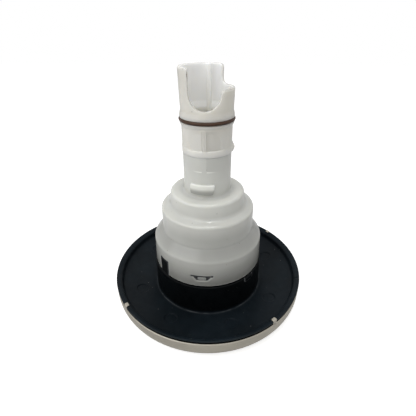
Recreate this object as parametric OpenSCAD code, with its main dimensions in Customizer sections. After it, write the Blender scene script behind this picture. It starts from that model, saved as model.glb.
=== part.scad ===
// Insert of a rotary hot tub jet, standing on its face.
// Origin: centre of the face plane. +Z runs along the jet's axis, away from the tub, towards the
// water inlet. Water enters the barrel at the top and leaves through the rotor at the bottom.

/* [Face] */
// Outside diameter of the face
face_d = 127; // [112:1:150]
// Height of the rim's outer edge above the face plane
rim_h = 17.5; // [16:0.5:22]
// Radial width of the rim's back land
rim_w = 3.5; // [3:0.1:5]
// Drop of the land from its outer to its inner edge
rim_slope = 2.2; // [1:0.1:3]
// Depth of the rim's inner wall, from the land to the pan
rim_wall_h = 3.5; // [2.5:0.1:4.5]
// Slant of the rim's inner wall
rim_draft = 0.7; // [0.3:0.1:1.2]
// Fall of the pan floor from the rim to the collar
pan_fall = 4.8; // [3.6:0.1:5.4]
// Thickness of the pan floor
pan_t = 2.2; // [1.6:0.1:2.8]
// Height of the collar above the foot of the pan
collar_h = 21.4; // [18:0.2:26]
// Slant of the collar over its height
collar_draft = 0.7; // [0.2:0.1:1.5]
// Wall of the collar at its top
collar_wall = 1.9; // [1.5:0.1:2.4]
// Step from the housing's wall out to the collar's wall
collar_step = 0.5; // [0.2:0.1:1.2]
// Height of the face opening's edge above the face plane
bezel_h = 3; // [2.4:0.2:4]

/* [Face details] */
// Angle from the X axis to the nearest ejector marks on the pan floor
mark_side_angle = 26.5; // [15:0.5:30]
// Angle from the Y axis to the nearest ejector marks
mark_front_angle = 23; // [15:0.5:30]
// Diameter of an ejector mark
mark_d = 7.8; // [5:0.1:9]
// Depth of an ejector mark
mark_depth = 0.3; // [0.2:0.05:0.6]
// Radius of the circle of ejector marks
mark_ring_r = 47.4; // [46:0.1:49]
// Width of the shallow recess in the rim's land
recess_w = 5.5; // [3:0.5:10]
// Depth of that recess
recess_depth = 0.35; // [0.2:0.05:0.6]
// Width of the two narrow seams in the land
seam_w = 0.8; // [0.4:0.1:1.5]
// Width of the raised latch pad on the collar
pad_w = 6.2; // [4:0.2:9]
// Height of the latch pad
pad_h = 5.6; // [4:0.2:8]
// Thickness of the latch pad
pad_t = 0.35; // [0.2:0.05:0.6]

/* [Trim] */
// Thickness of the stainless sheet
sheet_t = 0.8; // [0.6:0.1:1]
// Height of bare rim between the sheet's edge and the land's edge
rim_show = 3; // [1.5:0.1:3.5]
// Height of the rim's lip, over the open groove above the sheet's edge
rim_lip_h = 1.4; // [0.8:0.1:1.4]
// Radius of the roll between the trim's side and its front
trim_roll = 10; // [7.5:0.5:11]
// Width of the flat on which the face rests
rest_w = 4; // [3:0.5:6]
// Height at which the trim's inner edge starts its lip
trim_lip_z = 3.2; // [2.4:0.2:4]
// Number of folded tabs
tab_count = 4; // [3:1:6]
// Width of a folded tab
tab_w = 2.8; // [2:0.2:5]
// Reach of a tab over the land
tab_reach = 2.2; // [1.5:0.1:2.8]

/* [Housing] */
// Outside radius of the housing at its bottom edge
cup_r = 35.2; // [33:0.2:38]
// Slant of the lower tier
cup_draft = 0.6; // [0:0.1:1]
// Height of the lower tier
cup_h = 17.1; // [16:0.1:20]
// Gap between the collar's ledge and the housing's bottom edge
cup_reveal = 0.8; // [0.4:0.1:1.4]
// Wall of the lower tier
cup_wall = 2.5; // [2:0.1:3]
// Wall of the other tiers
tier_wall = 2.4; // [1.8:0.1:3]
// Height of the cone above the lower tier
cone_h = 6.3; // [4.5:0.1:8]
// Outside radius of the middle tier
mid_r = 29; // [27:0.1:31]
// Slant of the middle tier
mid_draft = 0.2; // [0:0.1:0.8]
// Height of the middle tier
mid_h = 14.3; // [12:0.1:18]
// Height of the slope above the middle tier
slope_h = 1.9; // [1.2:0.1:4]
// Outside radius of the upper tier
top_r = 23.6; // [21.8:0.1:25]
// Slant of the upper tier
top_draft = 1.3; // [0.5:0.05:2]
// Height of the upper tier
top_h = 8.9; // [8:0.1:11]
// Fall of the top surface from the tier's edge to the neck
top_fall = 0.3; // [0:0.1:0.8]
// Outside radius of the neck
neck_r = 14; // [13.4:0.1:15.5]
// Wall of the neck where the barrel's spigot enters
neck_wall = 2; // [1.6:0.1:2.4]
// Height of the neck
neck_h = 24.6; // [22:0.1:32]
// Length of the neck's straight part, below the barrel
pilot_l = 15; // [12:0.1:15.5]
// Growth of the neck's radius from the straight part down to its foot
neck_foot = 0.35; // [0.1:0.05:0.6]

/* [Housing details] */
// Width of a key slot
key_w = 8.5; // [6:0.1:11]
// Height of a key slot
key_h = 11.2; // [9:0.1:12.5]
// Width of a snap window's wide top
window_top_w = 13.6; // [11:0.1:15]
// Height of that wide top
window_top_h = 1.1; // [0.8:0.1:1.3]
// Width of a snap window under its wide top
window_mid_w = 10.6; // [9.2:0.1:11]
// Width of a snap window's bottom edge
window_low_w = 6.6; // [6:0.1:9]
// Height of a snap window
window_h = 3.7; // [3.4:0.1:5]
// Height of a window's bottom edge above the housing's bottom edge
window_z = 4.2; // [3.5:0.1:6]
// Step from the housing's wall down to a boss in its window
boss_step = 0.3; // [0.2:0.1:0.6]
// Angle that the lug spans on the neck
lug_angle = 57; // [30:1:70]
// Height of the lug
lug_h = 6.2; // [4:0.1:7]
// Height of the lug's bottom edge above the foot of the neck
lug_z = 2.6; // [2.4:0.1:5]
// Depth of the lug
lug_t = 1.6; // [1:0.1:2.4]
// Width of the air port in the back of the neck
port_w = 10; // [6:0.5:13]
// Height of the air port
air_port_h = 5.5; // [4.5:0.1:6]

/* [Barrel] */
// Height of the barrel above the neck
barrel_h = 44.5; // [40:0.5:50]
// Outside radius of the barrel above the seal
barrel_r = 14.45; // [14:0.05:15]
// Growth of that radius up to the top
barrel_draft = 0.5; // [0:0.05:0.8]
// Wall of the barrel above the seal
barrel_wall = 2; // [1.6:0.1:2.2]
// Bore radius of the barrel at the seal
seal_bore_r = 11.5; // [11:0.1:11.7]
// Bore radius of the barrel's spigot
spigot_bore_r = 9.8; // [9:0.1:10.2]
// Length of the spigot inside the neck
spigot_l = 8.2; // [7:0.1:9.4]
// Height of the flange
flange_h = 3.6; // [2.5:0.1:5]
// Step from the neck out to the flange
flange_step = 0.3; // [0.1:0.05:0.8]
// Height of the seal's centre above the neck
seal_z = 18.2; // [17:0.1:20]
// Radius of the inlet port's round bottom
port_r = 8.2; // [7:0.1:9.5]
// Height of the centre of that round above the neck
port_z = 32.4; // [32:0.1:35]
// Height of the low wall above the centre of the port
low_wall_rise = 1.6; // [0:0.1:2.5]
// Angle at which the low wall ends, behind the port
low_wall_end = 58; // [45:1:75]
// Thickness of the rib and of the flow vane
rib_t = 2.3; // [1.8:0.1:3]
// Depth of the rib
rib_depth = 2; // [1.4:0.1:2.6]
// Depth of the panels below the seal
panel_depth = 0.5; // [0.3:0.05:0.8]
// Angle that a pair of panels spans
panel_angle = 82; // [60:1:100]
// Radius of the round stop nub
nub_r = 3; // [2.4:0.1:3.4]
// How far the nub stands out of the flange
nub_out = 1.3; // [0.8:0.1:1.8]

/* [Seals] */
// Section diameter of the barrel's O-ring
ring_d = 2; // [1.7:0.05:2.6]
// Outside radius of the barrel's O-ring as fitted
ring_out_r = 15.5; // [15.3:0.01:15.8]
// Radius of the lips beside the barrel's O-ring
lip_r = 15; // [14.8:0.05:15.2]
// Section diameter of the nozzle's O-ring
small_ring_d = 1.5; // [1.3:0.05:1.7]

/* [Nozzle and diffuser] */
// Thickness of the nozzle's flange
nozzle_flange_t = 3.5; // [3.2:0.1:4]
// Bore radius of the nozzle's inlet
nozzle_in_r = 8.8; // [8:0.1:9]
// Bore radius of the nozzle's outlet
nozzle_out_r = 5; // [3.5:0.1:5.6]
// Length of the nozzle's cone
nozzle_l = 11.2; // [9.5:0.1:12]
// Wall of the nozzle's cone
nozzle_wall = 1.5; // [1.2:0.1:1.8]
// Throat radius of the diffuser
throat_r = 5.6; // [5:0.1:6.4]
// Bore radius of the diffuser's outlet
diffuser_out_r = 6.9; // [6:0.1:7.1]
// Thickness of the diffuser's plate
diffuser_plate_t = 2.6; // [2:0.1:3.2]
// Depth to which the diffuser reaches into the rotor's mouth
diffuser_overlap = 2.5; // [1.5:0.1:3.5]
// Wall of the diffuser's outlet
diffuser_wall = 1.4; // [1.2:0.1:1.6]
// Thickness of the wear ring
wear_t = 2.5; // [1.5:0.1:3]

/* [Bearing] */
// Outside diameter of the bearing
bearing_d = 36; // [35:0.5:40]
// Bore of the bearing
bearing_bore_d = 22; // [21:0.5:23]
// Width of the bearing
bearing_w = 8; // [7:0.5:10]
// Diameter of a ball
ball_d = 4.8; // [4:0.1:5]
// Number of balls
ball_count = 14; // [8:1:15]
// Height of the bearing's lower face above the carrier's flange
bearing_seat_h = 0.8; // [0.4:0.1:2]
// Thickness of both retaining rings
clip_t = 1.1; // [0.8:0.1:1.5]
// Depth of the grooves for the retaining rings
clip_depth = 0.8; // [0.6:0.05:1]
// Gap between the ends of a retaining ring
clip_gap = 9; // [6:0.5:12]
// Wall of the carrier
carrier_wall = 2.2; // [1.8:0.1:2.6]
// Thickness of the carrier's flange
carrier_flange_t = 2.5; // [2:0.1:3]
// Length of the carrier's skirt
carrier_skirt_l = 12; // [11:0.5:13]
// Width of a snap nose's top edge
nose_top_w = 7.2; // [6:0.1:8]
// Width of a snap nose's bottom edge
nose_low_w = 4.5; // [3:0.1:5]
// Height of a snap nose
nose_h = 1.8; // [1.4:0.1:2.2]
// Height of a snap nose above the bottom edge of its window
nose_rise = 0.7; // [0.5:0.1:0.8]

/* [Rotor] */
// Bore radius of the rotor's hub
hub_bore_r = 8.8; // [8.7:0.1:9]
// Length of hub above the upper retaining ring
hub_lip = 3.6; // [3:0.1:5]
// Radius of the shoulder under the inner race
shoulder_r = 12.8; // [12.2:0.1:13.2]
// Outside radius of the rotor's manifold
manifold_r = 24; // [22:0.5:25]
// Wall of the manifold
manifold_wall = 2; // [1.6:0.1:2.4]
// Height of the manifold's cylindrical part
manifold_h = 7; // [5:0.5:9]
// Height of the manifold's cone
manifold_cone_h = 20; // [16:0.5:24]
// Height of the rotor cap's flat above the face plane
cap_z = 4.2; // [3.6:0.1:5]
// Drop of the cap from its flat to its edge, away from the tub
cap_drop = 1.8; // [1:0.1:2.6]
// Radial width of the cap's slanted rim
cap_rim_w = 5; // [3:0.5:7]
// Thickness of the rotor's face plate
rotor_face_t = 2.4; // [2:0.1:3]
// Radius at which the outlets are placed
outlet_ring_r = 13.5; // [12.5:0.1:14]
// Bore radius of an outlet
outlet_r = 4.6; // [3.5:0.1:5]
// Wall of an outlet nozzle
outlet_wall = 1.4; // [1.1:0.1:1.6]
// Length of an outlet nozzle
outlet_l = 13; // [11:0.5:15]
// Length of the boss that holds an outlet nozzle
outlet_boss_l = 6; // [5:0.5:7]
// Slant of an outlet, which turns the rotor
outlet_tilt = 15; // [8:1:18]

/* [Fits] */
// Radial clearance between pieces that are put together and stay so
fit_gap = 0.1; // [0.05:0.01:0.2]
// Clearance round a boss in its window
boss_gap = 0.15; // [0.1:0.05:0.3]
// Gap between the rotor and what stands still
run_gap = 0.6; // [0.4:0.05:0.9]
// Clearance between a ball and its groove
ball_gap = 0.08; // [0.05:0.01:0.1]
// Clearance between a ball and its pocket in the cage
pocket_gap = 0.1; // [0.05:0.01:0.2]

/* [Hidden] */
$fn = 144;
cut = 1;          // how far a cut runs past the surface that it opens
far = 200;        // reach of a cutting wedge
arc_step = 15;    // angle between the points of a rounded corner

// Angles about the axis: features of the housing, its keys and the trim's tabs
front = -90;
key_angles = [-135, 45];
window_angles = [-90, 0, 90, 180];
pad_angles = [-36.5, 143.5];
tab_angle = 45;
mark_angles = [for (side = [0, 180], turn = [-1, 1])
    each [side + turn * mark_side_angle, side + 90 + turn * mark_front_angle]];
recess_angle = -83;
seam_angles = [-8, 167];
lug_mid = -96;
nub_angle = 0;

// Heights along the axis, from the face plane up
land_in_z = rim_h - rim_slope;
pan_out_z = land_in_z - rim_wall_h;
pan_in_z = pan_out_z - pan_fall;
ledge_z = pan_in_z + collar_h;
cup_z = ledge_z + cup_reveal;
cup_top_z = cup_z + cup_h;
mid_z = cup_top_z + cone_h;
mid_top_z = mid_z + mid_h;
upper_z = mid_top_z + slope_h;
upper_top_z = upper_z + top_h;
neck_z = upper_top_z - top_fall;
neck_top_z = neck_z + neck_h;
barrel_top_z = neck_top_z + barrel_h;
spigot_z = neck_top_z - spigot_l;
nozzle_seat_z = spigot_z - nozzle_flange_t;
nozzle_tip_z = nozzle_seat_z - nozzle_l;
roof_z = neck_z - tier_wall;
bore_top_z = cup_top_z - 0.6;
flange_z = bore_top_z - carrier_flange_t;
bearing_z = bore_top_z + bearing_seat_h;
bearing_top_z = bearing_z + bearing_w;
clip_top_z = bearing_top_z + clip_t;
hub_top_z = clip_top_z + hub_lip;
diffuser_z = hub_top_z - diffuser_overlap;
wear_z = hub_top_z + run_gap;
manifold_z = cap_z + cap_drop + rotor_face_t;
manifold_top_z = manifold_z + manifold_h;
seal_mid_z = neck_top_z + seal_z;
vane_top_z = seal_mid_z - ring_d / 2 - 2;
port_mid_z = neck_top_z + port_z;
low_wall_z = port_mid_z + low_wall_rise;

// Radii from the axis
face_r = face_d / 2;
land_in_r = face_r - rim_w;
pan_out_r = land_in_r - rim_draft;
collar_top_r = cup_r + collar_step;
collar_base_r = collar_top_r + collar_draft;
opening_r = collar_top_r - collar_wall;
bezel_r = collar_base_r - 0.2;
cup_bore_r = cup_r - cup_wall;
spigot_r = cup_bore_r - fit_gap;
spigot_in_r = spigot_r - 2;
carrier_r = spigot_in_r - fit_gap;
neck_bore_r = neck_r - neck_wall;
nozzle_bore_r = neck_bore_r - 1.5;
barrel_spigot_r = neck_bore_r - fit_gap / 2;
gland_r = ring_out_r - ring_d;
gland_w = ring_d + 0.1;
flange_r = neck_r + flange_step;
band_r = flange_r - 0.15;
bearing_r = bearing_d / 2;
hub_r = bearing_bore_d / 2;
seat_r = bearing_r + fit_gap / 2;
pitch_r = (bearing_r + hub_r) / 2;
groove_r = ball_d / 2 + ball_gap;
race_edge = (bearing_r - hub_r) / 2 - ball_d / 4;
cap_r = opening_r - run_gap - 1.4;
rotor_r = opening_r - run_gap;
manifold_in_r = manifold_r - manifold_wall;
diffuser_tube_r = diffuser_out_r + diffuser_wall;

// Snap windows: their bosses and the noses in the bosses
nose_z = cup_z + window_z + nose_rise;
window_face_r = cup_r - cup_draft * (window_z + window_h / 2) / cup_h;

// ---- Outlines ----

function unit(v) = v / norm(v);

// Points of the corner p between its neighbours a and b, rounded to radius r. The radius is
// limited so that a round never runs past the middle of a side.
function corner(a, p, b, r) =
    let (u = unit(a - p), v = unit(b - p), half = acos(min(1, max(-1, u * v))) / 2,
        room = 0.48 * min(norm(a - p), norm(b - p)) * tan(half),
        q = min(r, room))
    q <= 0.01 || half > 89 ? [p] :
    let (c = p + unit(u + v) * q / sin(half),
        s = p + u * q / tan(half) - c,
        e = p + v * q / tan(half) - c,
        start = atan2(s[1], s[0]),
        turn = atan2(s[0] * e[1] - s[1] * e[0], s * e),
        n = max(2, ceil(abs(turn) / arc_step)))
    [for (i = [0:n]) c + norm(s) * [cos(start + turn * i / n), sin(start + turn * i / n)]];

// Closed outline from [x, y, radius] corners
function rounded(p) =
    let (n = len(p))
    [for (i = [0:n - 1])
        let (a = p[(i + n - 1) % n], m = p[i], b = p[(i + 1) % n])
        each corner([a[0], a[1]], [m[0], m[1]], [b[0], b[1]], m[2])];

// Points on an arc about [x, y]
function arc(x, y, r, from, to, n) =
    [for (i = [0:n]) [x + r * cos(from + (to - from) * i / n),
        y + r * sin(from + (to - from) * i / n)]];

// ---- Helpers ----

// Turned solid from [radius, height, corner radius] points
module turned(p) {
    rotate_extrude() polygon(rounded(p));
}

// Ring or, with r0 = 0, disc between two heights
module ring(r0, r1, z0, z1) {
    difference() {
        translate([0, 0, z0]) cylinder(r = r1, h = z1 - z0);
        if (r0 > 0) translate([0, 0, z0 - cut]) cylinder(r = r0, h = z1 - z0 + 2 * cut);
    }
}

// Wedge of space from one angle to another, wide enough to cut any piece
module wedge(from, to, z0, z1) {
    mid = (from + to) / 2;
    translate([0, 0, z0]) linear_extrude(z1 - z0)
        polygon([[0, 0], far * [cos(from), sin(from)], far * [cos(mid), sin(mid)],
            far * [cos(to), sin(to)]]);
}

// Bar that runs outwards from radius r0 to r1 at an angle, with a trapezium for its section
module radial_bar(angle, r0, r1, z0, z1, low_w, top_w) {
    rotate(angle) translate([r0, 0, 0]) rotate([90, 0, 90]) linear_extrude(r1 - r0)
        polygon([[-low_w / 2, z0], [low_w / 2, z0], [top_w / 2, z1], [-top_w / 2, z1]]);
}

// Solid that fills a snap window from radius r0 to r1, smaller by a gap all round: a trapezium
// under a wide top
module window_bar(angle, r0, r1, gap = 0) {
    low_z = cup_z + window_z + gap;
    step_z = cup_z + window_z + window_h - window_top_h + gap;
    top_z = cup_z + window_z + window_h - gap;
    radial_bar(angle, r0, r1, low_z, step_z, window_low_w - 2 * gap, window_mid_w - 2 * gap);
    radial_bar(angle, r0, r1, step_z, top_z, window_top_w - 2 * gap, window_top_w - 2 * gap);
}

// ---- Face ----

// Height of the pan floor at radius r
function pan_z(r) =
    pan_in_z + pan_fall * (r - collar_base_r) / (pan_out_r - collar_base_r);
pan_tilt = atan(pan_fall / (pan_out_r - collar_base_r));

trim_edge_z = rim_h - rim_show;
trim_in_r = bezel_r + fit_gap;
trim_turn_r = trim_in_r + 1.4;
rest_out_r = face_r - trim_roll;
rest_in_r = rest_out_r - rest_w;

// Height of the trim's front at radius r, between the flat and the lip
function front_z(r) = trim_lip_z * pow(max(0, rest_in_r - r) / (rest_in_r - trim_turn_r), 2);

// Outer surface of the trim, from its edge on the rim to its lip in the face opening
trim_side = [
    [face_r, trim_edge_z],
    each arc(rest_out_r, trim_roll, trim_roll, 0, -90, 10),
    each [for (i = [0:6]) let (r = rest_in_r + (trim_turn_r - rest_in_r) * i / 6)
        [r, front_z(r)]],
    [trim_in_r + 0.4, trim_lip_z + 0.5],
    [trim_in_r, pan_in_z - pan_t - fit_gap - 0.1]];

// Same surface, moved into the sheet by its thickness
function inward(p, t) =
    let (n = len(p))
    [for (i = [0:n - 1])
        let (d = unit(p[min(n - 1, i + 1)] - p[max(0, i - 1)])) p[i] + t * [d[1], -d[0]]];

function reversed(p) = [for (i = [len(p) - 1:-1:0]) p[i]];

module steel_trim() {
    sheet_in_r = face_r - sheet_t;
    color([0.66, 0.64, 0.6]) {
        rotate_extrude() polygon(concat(trim_side, reversed(inward(trim_side, sheet_t))));
        for (i = [0:tab_count - 1]) rotate(tab_angle + i * 360 / tab_count) {
            translate([sheet_in_r, -tab_w / 2, trim_edge_z - 1.5])
                cube([sheet_t, tab_w, rim_show + 1.5 + 0.2]);
            translate([face_r - tab_reach, -tab_w / 2, rim_h + 0.2 - sheet_t])
                cube([tab_reach, tab_w, sheet_t]);
        }
    }
}

// Plate, rim, collar and spigot as one outline
module escutcheon_outline() {
    side_r = face_r - sheet_t - fit_gap;
    low_z = pan_out_z - pan_t;
    polygon(rounded([
        [opening_r, bezel_h, 0.4],
        [bezel_r, bezel_h, 0.4],
        [bezel_r, pan_in_z - pan_t, 0],
        [pan_out_r, low_z, 0],
        [side_r, low_z, 0.6],
        [side_r, rim_h - rim_lip_h, 0],
        [face_r, rim_h - rim_lip_h, 0],
        [face_r, rim_h, 0.5],
        [land_in_r, land_in_z, 0.5],
        [pan_out_r, pan_out_z, 0.8],
        [collar_base_r, pan_in_z, 1],
        [collar_top_r, ledge_z, 0.8],
        [spigot_r, ledge_z, 0],
        [spigot_r, flange_z, 0.3],
        [spigot_in_r, flange_z, 0],
        [spigot_in_r, ledge_z, 0],
        [opening_r, ledge_z - 2 * collar_wall, 0]]));
}

// Rings under the pan that bear on the inside of the trim
module pan_ribs() {
    half = 0.8;
    for (r = [(trim_turn_r + rest_in_r) / 2, (rest_in_r + rest_out_r) / 2])
        ring(r - half, r + half, front_z(r - half) + sheet_t * 1.06 + fit_gap, pan_z(r) - 0.5);
}

// Cut into the rim's land, as deep as stated and parallel to the land
module land_cut(angle, w, depth) {
    fall = rim_slope / rim_w;
    low = land_in_z - depth;
    rotate(angle) rotate([90, 0, 0]) translate([0, 0, -w / 2]) linear_extrude(w)
        polygon([[land_in_r - 2, low - 2 * fall], [face_r + 2, low + (rim_w + 2) * fall],
            [face_r + 2, rim_h + 3], [land_in_r - 2, rim_h + 3]]);
}

module key(angle, w, r1, top) {
    radial_bar(angle, spigot_in_r + 0.5, r1, ledge_z - 0.5, top, w, w);
}

// Boss that fills a window of the housing and holds the face and the housing together
module snap_boss(angle) {
    window_bar(angle, spigot_in_r + 0.5, window_face_r - boss_step, boss_gap);
}

module escutcheon() {
    notch_w = tab_w + 0.6;
    color([0.09, 0.1, 0.11])
    difference() {
        union() {
            rotate_extrude() escutcheon_outline();
            pan_ribs();
            for (a = key_angles)
                key(a, key_w - 2 * fit_gap, cup_r - cup_draft / 2, cup_z + key_h - fit_gap);
            for (a = window_angles) snap_boss(a);
            for (a = pad_angles) rotate(a) intersection() {
                translate([collar_top_r - collar_wall / 2, -pad_w / 2, ledge_z - 0.9 - pad_h])
                    cube([collar_wall, pad_w, pad_h]);
                translate([0, 0, ledge_z - 1 - pad_h])
                    cylinder(r1 = collar_top_r + 0.3 + pad_t, r2 = collar_top_r + pad_t,
                        h = pad_h + 1);
            }
        }
        for (a = mark_angles) rotate(a)
            translate([mark_ring_r, 0, pan_z(mark_ring_r)]) rotate([0, -pan_tilt, 0])
                translate([0, 0, -mark_depth]) cylinder(d = mark_d, h = 2);
        for (i = [0:tab_count - 1]) rotate(tab_angle + i * 360 / tab_count)
            translate([face_r - tab_reach - 0.3, -notch_w / 2, rim_h - sheet_t])
                cube([tab_reach + 3, notch_w, 3]);
        for (i = [0:tab_count - 1]) rotate(tab_angle + i * 360 / tab_count)
            translate([face_r - sheet_t - fit_gap, -notch_w / 2, trim_edge_z - 0.1])
                cube([3, notch_w, rim_show + 1]);
        land_cut(recess_angle, recess_w, recess_depth);
        for (a = seam_angles) land_cut(a, seam_w, recess_depth);
        for (a = window_angles)
            radial_bar(a, spigot_in_r - cut, cup_r + cut, nose_z - fit_gap,
                nose_z + nose_h + fit_gap, nose_low_w + 2 * fit_gap, nose_top_w + 2 * fit_gap);
    }
}

// ---- Housing ----

module housing_outline() {
    mid_in_r = mid_r - tier_wall;
    top_in_r = top_r - tier_wall;
    polygon(rounded([
        [cup_bore_r, cup_z, 0.2],
        [cup_r, cup_z, 0.3],
        [cup_r - cup_draft, cup_top_z, 0.5],
        [mid_r, mid_z, 0.8],
        [mid_r - mid_draft, mid_top_z, 1.5],
        [top_r, upper_z, 2.8],
        [top_r - top_draft, upper_top_z, 1.8],
        [neck_r + neck_foot, neck_z, 1.6],
        [neck_r, neck_top_z - pilot_l, 0],
        [neck_r, neck_top_z, 0],
        [neck_bore_r, neck_top_z, 0],
        [neck_bore_r, nozzle_seat_z, 0],
        [nozzle_bore_r, nozzle_seat_z, 0],
        [nozzle_bore_r, roof_z, 0],
        [top_in_r - top_draft, roof_z, 0],
        [top_in_r - top_draft, upper_z - 0.6, 0],
        [mid_in_r, mid_top_z - 1.2, 0],
        [mid_in_r, mid_z - 1.2, 0],
        [cup_bore_r, bore_top_z, 0]]));
}

module lug() {
    from = lug_mid - lug_angle / 2;
    z0 = neck_z + lug_z;
    z1 = z0 + lug_h;
    intersection() {
        turned([[neck_r - 0.5, z0, 0], [neck_r + lug_t - 0.3, z0, 0.4],
            [neck_r + lug_t, z0 + lug_h * 0.6, 0.2], [neck_r + lug_t - 0.4, z1, 0.4],
            [neck_r - 0.5, z1, 0]]);
        wedge(from, from + lug_angle, z0 - cut, z1 + cut);
    }
}

module housing() {
    air_z = neck_z + lug_z;
    color([0.82, 0.83, 0.81])
    difference() {
        union() {
            rotate_extrude() housing_outline();
            lug();
        }
        for (a = key_angles)
            radial_bar(a, cup_bore_r - cut, cup_r + cut, cup_z - cut, cup_z + key_h, key_w, key_w);
        for (a = window_angles) window_bar(a, cup_bore_r - cut, cup_r + cut);
        radial_bar(-front, nozzle_bore_r - 3, neck_r + cut, air_z, air_z + air_port_h, port_w, port_w);
    }
}

// ---- Barrel ----

module barrel_outline() {
    lip_z = seal_mid_z - gland_w / 2;
    high_lip_z = seal_mid_z + gland_w / 2;
    waist_z = high_lip_z + 3.8;
    top_out_r = barrel_r + barrel_draft;
    polygon(rounded([
        [spigot_bore_r, spigot_z, 0.3],
        [barrel_spigot_r, spigot_z, 0.3],
        [barrel_spigot_r, neck_top_z, 0],
        [flange_r, neck_top_z, 0.4],
        [flange_r, neck_top_z + flange_h, 0.3],
        [band_r, neck_top_z + flange_h + 0.3, 0],
        [band_r, lip_z - 2.4, 0.5],
        [lip_r, lip_z - 0.8, 0.4],
        [lip_r, lip_z, 0],
        [gland_r, lip_z, 0],
        [gland_r, high_lip_z, 0],
        [lip_r, high_lip_z, 0],
        [lip_r, high_lip_z + 1.4, 0.3],
        [barrel_r, waist_z, 2],
        [top_out_r, barrel_top_z, 0.5],
        [top_out_r - barrel_wall, barrel_top_z, 0.4],
        [barrel_r - barrel_wall, waist_z + 1.4, 0],
        [seal_bore_r, high_lip_z + 2, 0],
        [seal_bore_r, neck_top_z + flange_h, 0],
        [spigot_bore_r, neck_top_z + 1, 0]]));
}

// Shallow panels in the band, on both sides of a rib
module panels() {
    z0 = neck_top_z + flange_h;
    z1 = seal_mid_z - gland_w / 2 - 2.8;
    rib_angle = asin(rib_t / 2 / band_r);
    for (mid = [front, -front], side = [-1, 1]) {
        from = side > 0 ? rib_angle : -panel_angle / 2;
        to = side > 0 ? panel_angle / 2 : -rib_angle;
        intersection() {
            ring(band_r - panel_depth, band_r + 2, z0, z1);
            wedge(mid + from, mid + to, z0 - cut, z1 + cut);
        }
    }
}

// Flat vane across the bore, which straightens the flow
module barrel_vane() {
    intersection() {
        translate([-rib_t / 2, -far / 2, spigot_z]) cube([rib_t, far, vane_top_z - spigot_z]);
        union() {
            translate([0, 0, spigot_z - cut])
                cylinder(r = spigot_bore_r + 0.3, h = neck_top_z + 2 * cut - spigot_z);
            translate([0, 0, neck_top_z + cut])
                cylinder(r = seal_bore_r + 0.3, h = vane_top_z - neck_top_z);
        }
    }
}

module stop_nub() {
    nub_z = neck_top_z + nub_r * 0.75;
    rotate(nub_angle) intersection() {
        translate([flange_r + nub_out - nub_r, 0, nub_z]) sphere(r = nub_r, $fn = 64);
        translate([band_r - 0.8, -nub_r, neck_top_z]) cube([nub_r + 2, 2 * nub_r, 2 * nub_r]);
    }
}

module inlet_barrel() {
    rib_in_r = barrel_r - barrel_wall - rib_depth;
    rib_z = seal_mid_z + gland_w / 2 + 1;
    color([0.85, 0.85, 0.83])
    difference() {
        union() {
            rotate_extrude() barrel_outline();
            barrel_vane();
            translate([-rib_t / 2, rib_in_r, rib_z])
                cube([rib_t, rib_depth + barrel_wall / 2, barrel_top_z - 0.2 - rib_z]);
            stop_nub();
        }
        panels();
        translate([0, 0, port_mid_z]) rotate([90, 0, 0]) cylinder(r = port_r, h = far);
        translate([-port_r, -far, port_mid_z]) cube([2 * port_r, far, barrel_h]);
        wedge(front + asin(port_r / barrel_r), low_wall_end, low_wall_z, barrel_top_z + cut);
    }
}

module barrel_o_ring() {
    color([0.2, 0.13, 0.1])
    rotate_extrude() translate([gland_r + ring_d / 2, seal_mid_z]) circle(d = ring_d, $fn = 48);
}

// ---- Nozzle and diffuser ----

nozzle_gland_r = neck_bore_r - small_ring_d;
nozzle_gland_z = nozzle_seat_z + nozzle_flange_t / 2;

module venturi_nozzle() {
    seat_r0 = neck_bore_r - fit_gap / 2;
    w = small_ring_d / 2 + 0.1;
    tip_r = nozzle_out_r + nozzle_wall;
    color([0.75, 0.76, 0.76])
    turned([
        [nozzle_in_r, spigot_z, 0.3],
        [seat_r0, spigot_z, 0],
        [seat_r0, nozzle_gland_z + w, 0],
        [nozzle_gland_r, nozzle_gland_z + w, 0],
        [nozzle_gland_r, nozzle_gland_z - w, 0],
        [seat_r0, nozzle_gland_z - w, 0],
        [seat_r0, nozzle_seat_z, 0],
        [nozzle_bore_r - fit_gap, nozzle_seat_z, 0],
        [nozzle_bore_r - fit_gap, nozzle_seat_z - 1, 0],
        [tip_r, nozzle_tip_z + 1.5, 1],
        [tip_r, nozzle_tip_z, 0.4],
        [nozzle_out_r, nozzle_tip_z, 0.3],
        [nozzle_out_r, nozzle_tip_z + 2, 2],
        [nozzle_in_r, nozzle_seat_z, 2]]);
}

module nozzle_o_ring() {
    color([0.1, 0.1, 0.1])
    rotate_extrude() translate([neck_bore_r - small_ring_d / 2, nozzle_gland_z])
        circle(d = small_ring_d, $fn = 32);
}

module diffuser() {
    plate_r = top_r - tier_wall - top_draft - fit_gap;
    plate_z = roof_z - diffuser_plate_t;
    shoulder_z = wear_z + wear_t;
    shoulder_out_r = diffuser_tube_r + 1.2;
    color([0.72, 0.73, 0.73])
    turned([
        [throat_r + 2.6, roof_z, 1],
        [plate_r, roof_z, 0],
        [plate_r, plate_z, 0],
        [shoulder_out_r + 1, plate_z, 1],
        [shoulder_out_r, shoulder_z, 0],
        [diffuser_tube_r, shoulder_z, 0],
        [diffuser_tube_r, diffuser_z, 0.4],
        [diffuser_out_r, diffuser_z, 0.3],
        [throat_r, plate_z - 1.5, 2],
        [throat_r, plate_z, 1]]);
}

module wear_ring() {
    color([0.25, 0.3, 0.38])
    ring(diffuser_tube_r + fit_gap / 2, hub_r, wear_z, wear_z + wear_t);
}

// ---- Bearing and its carrier ----

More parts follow.
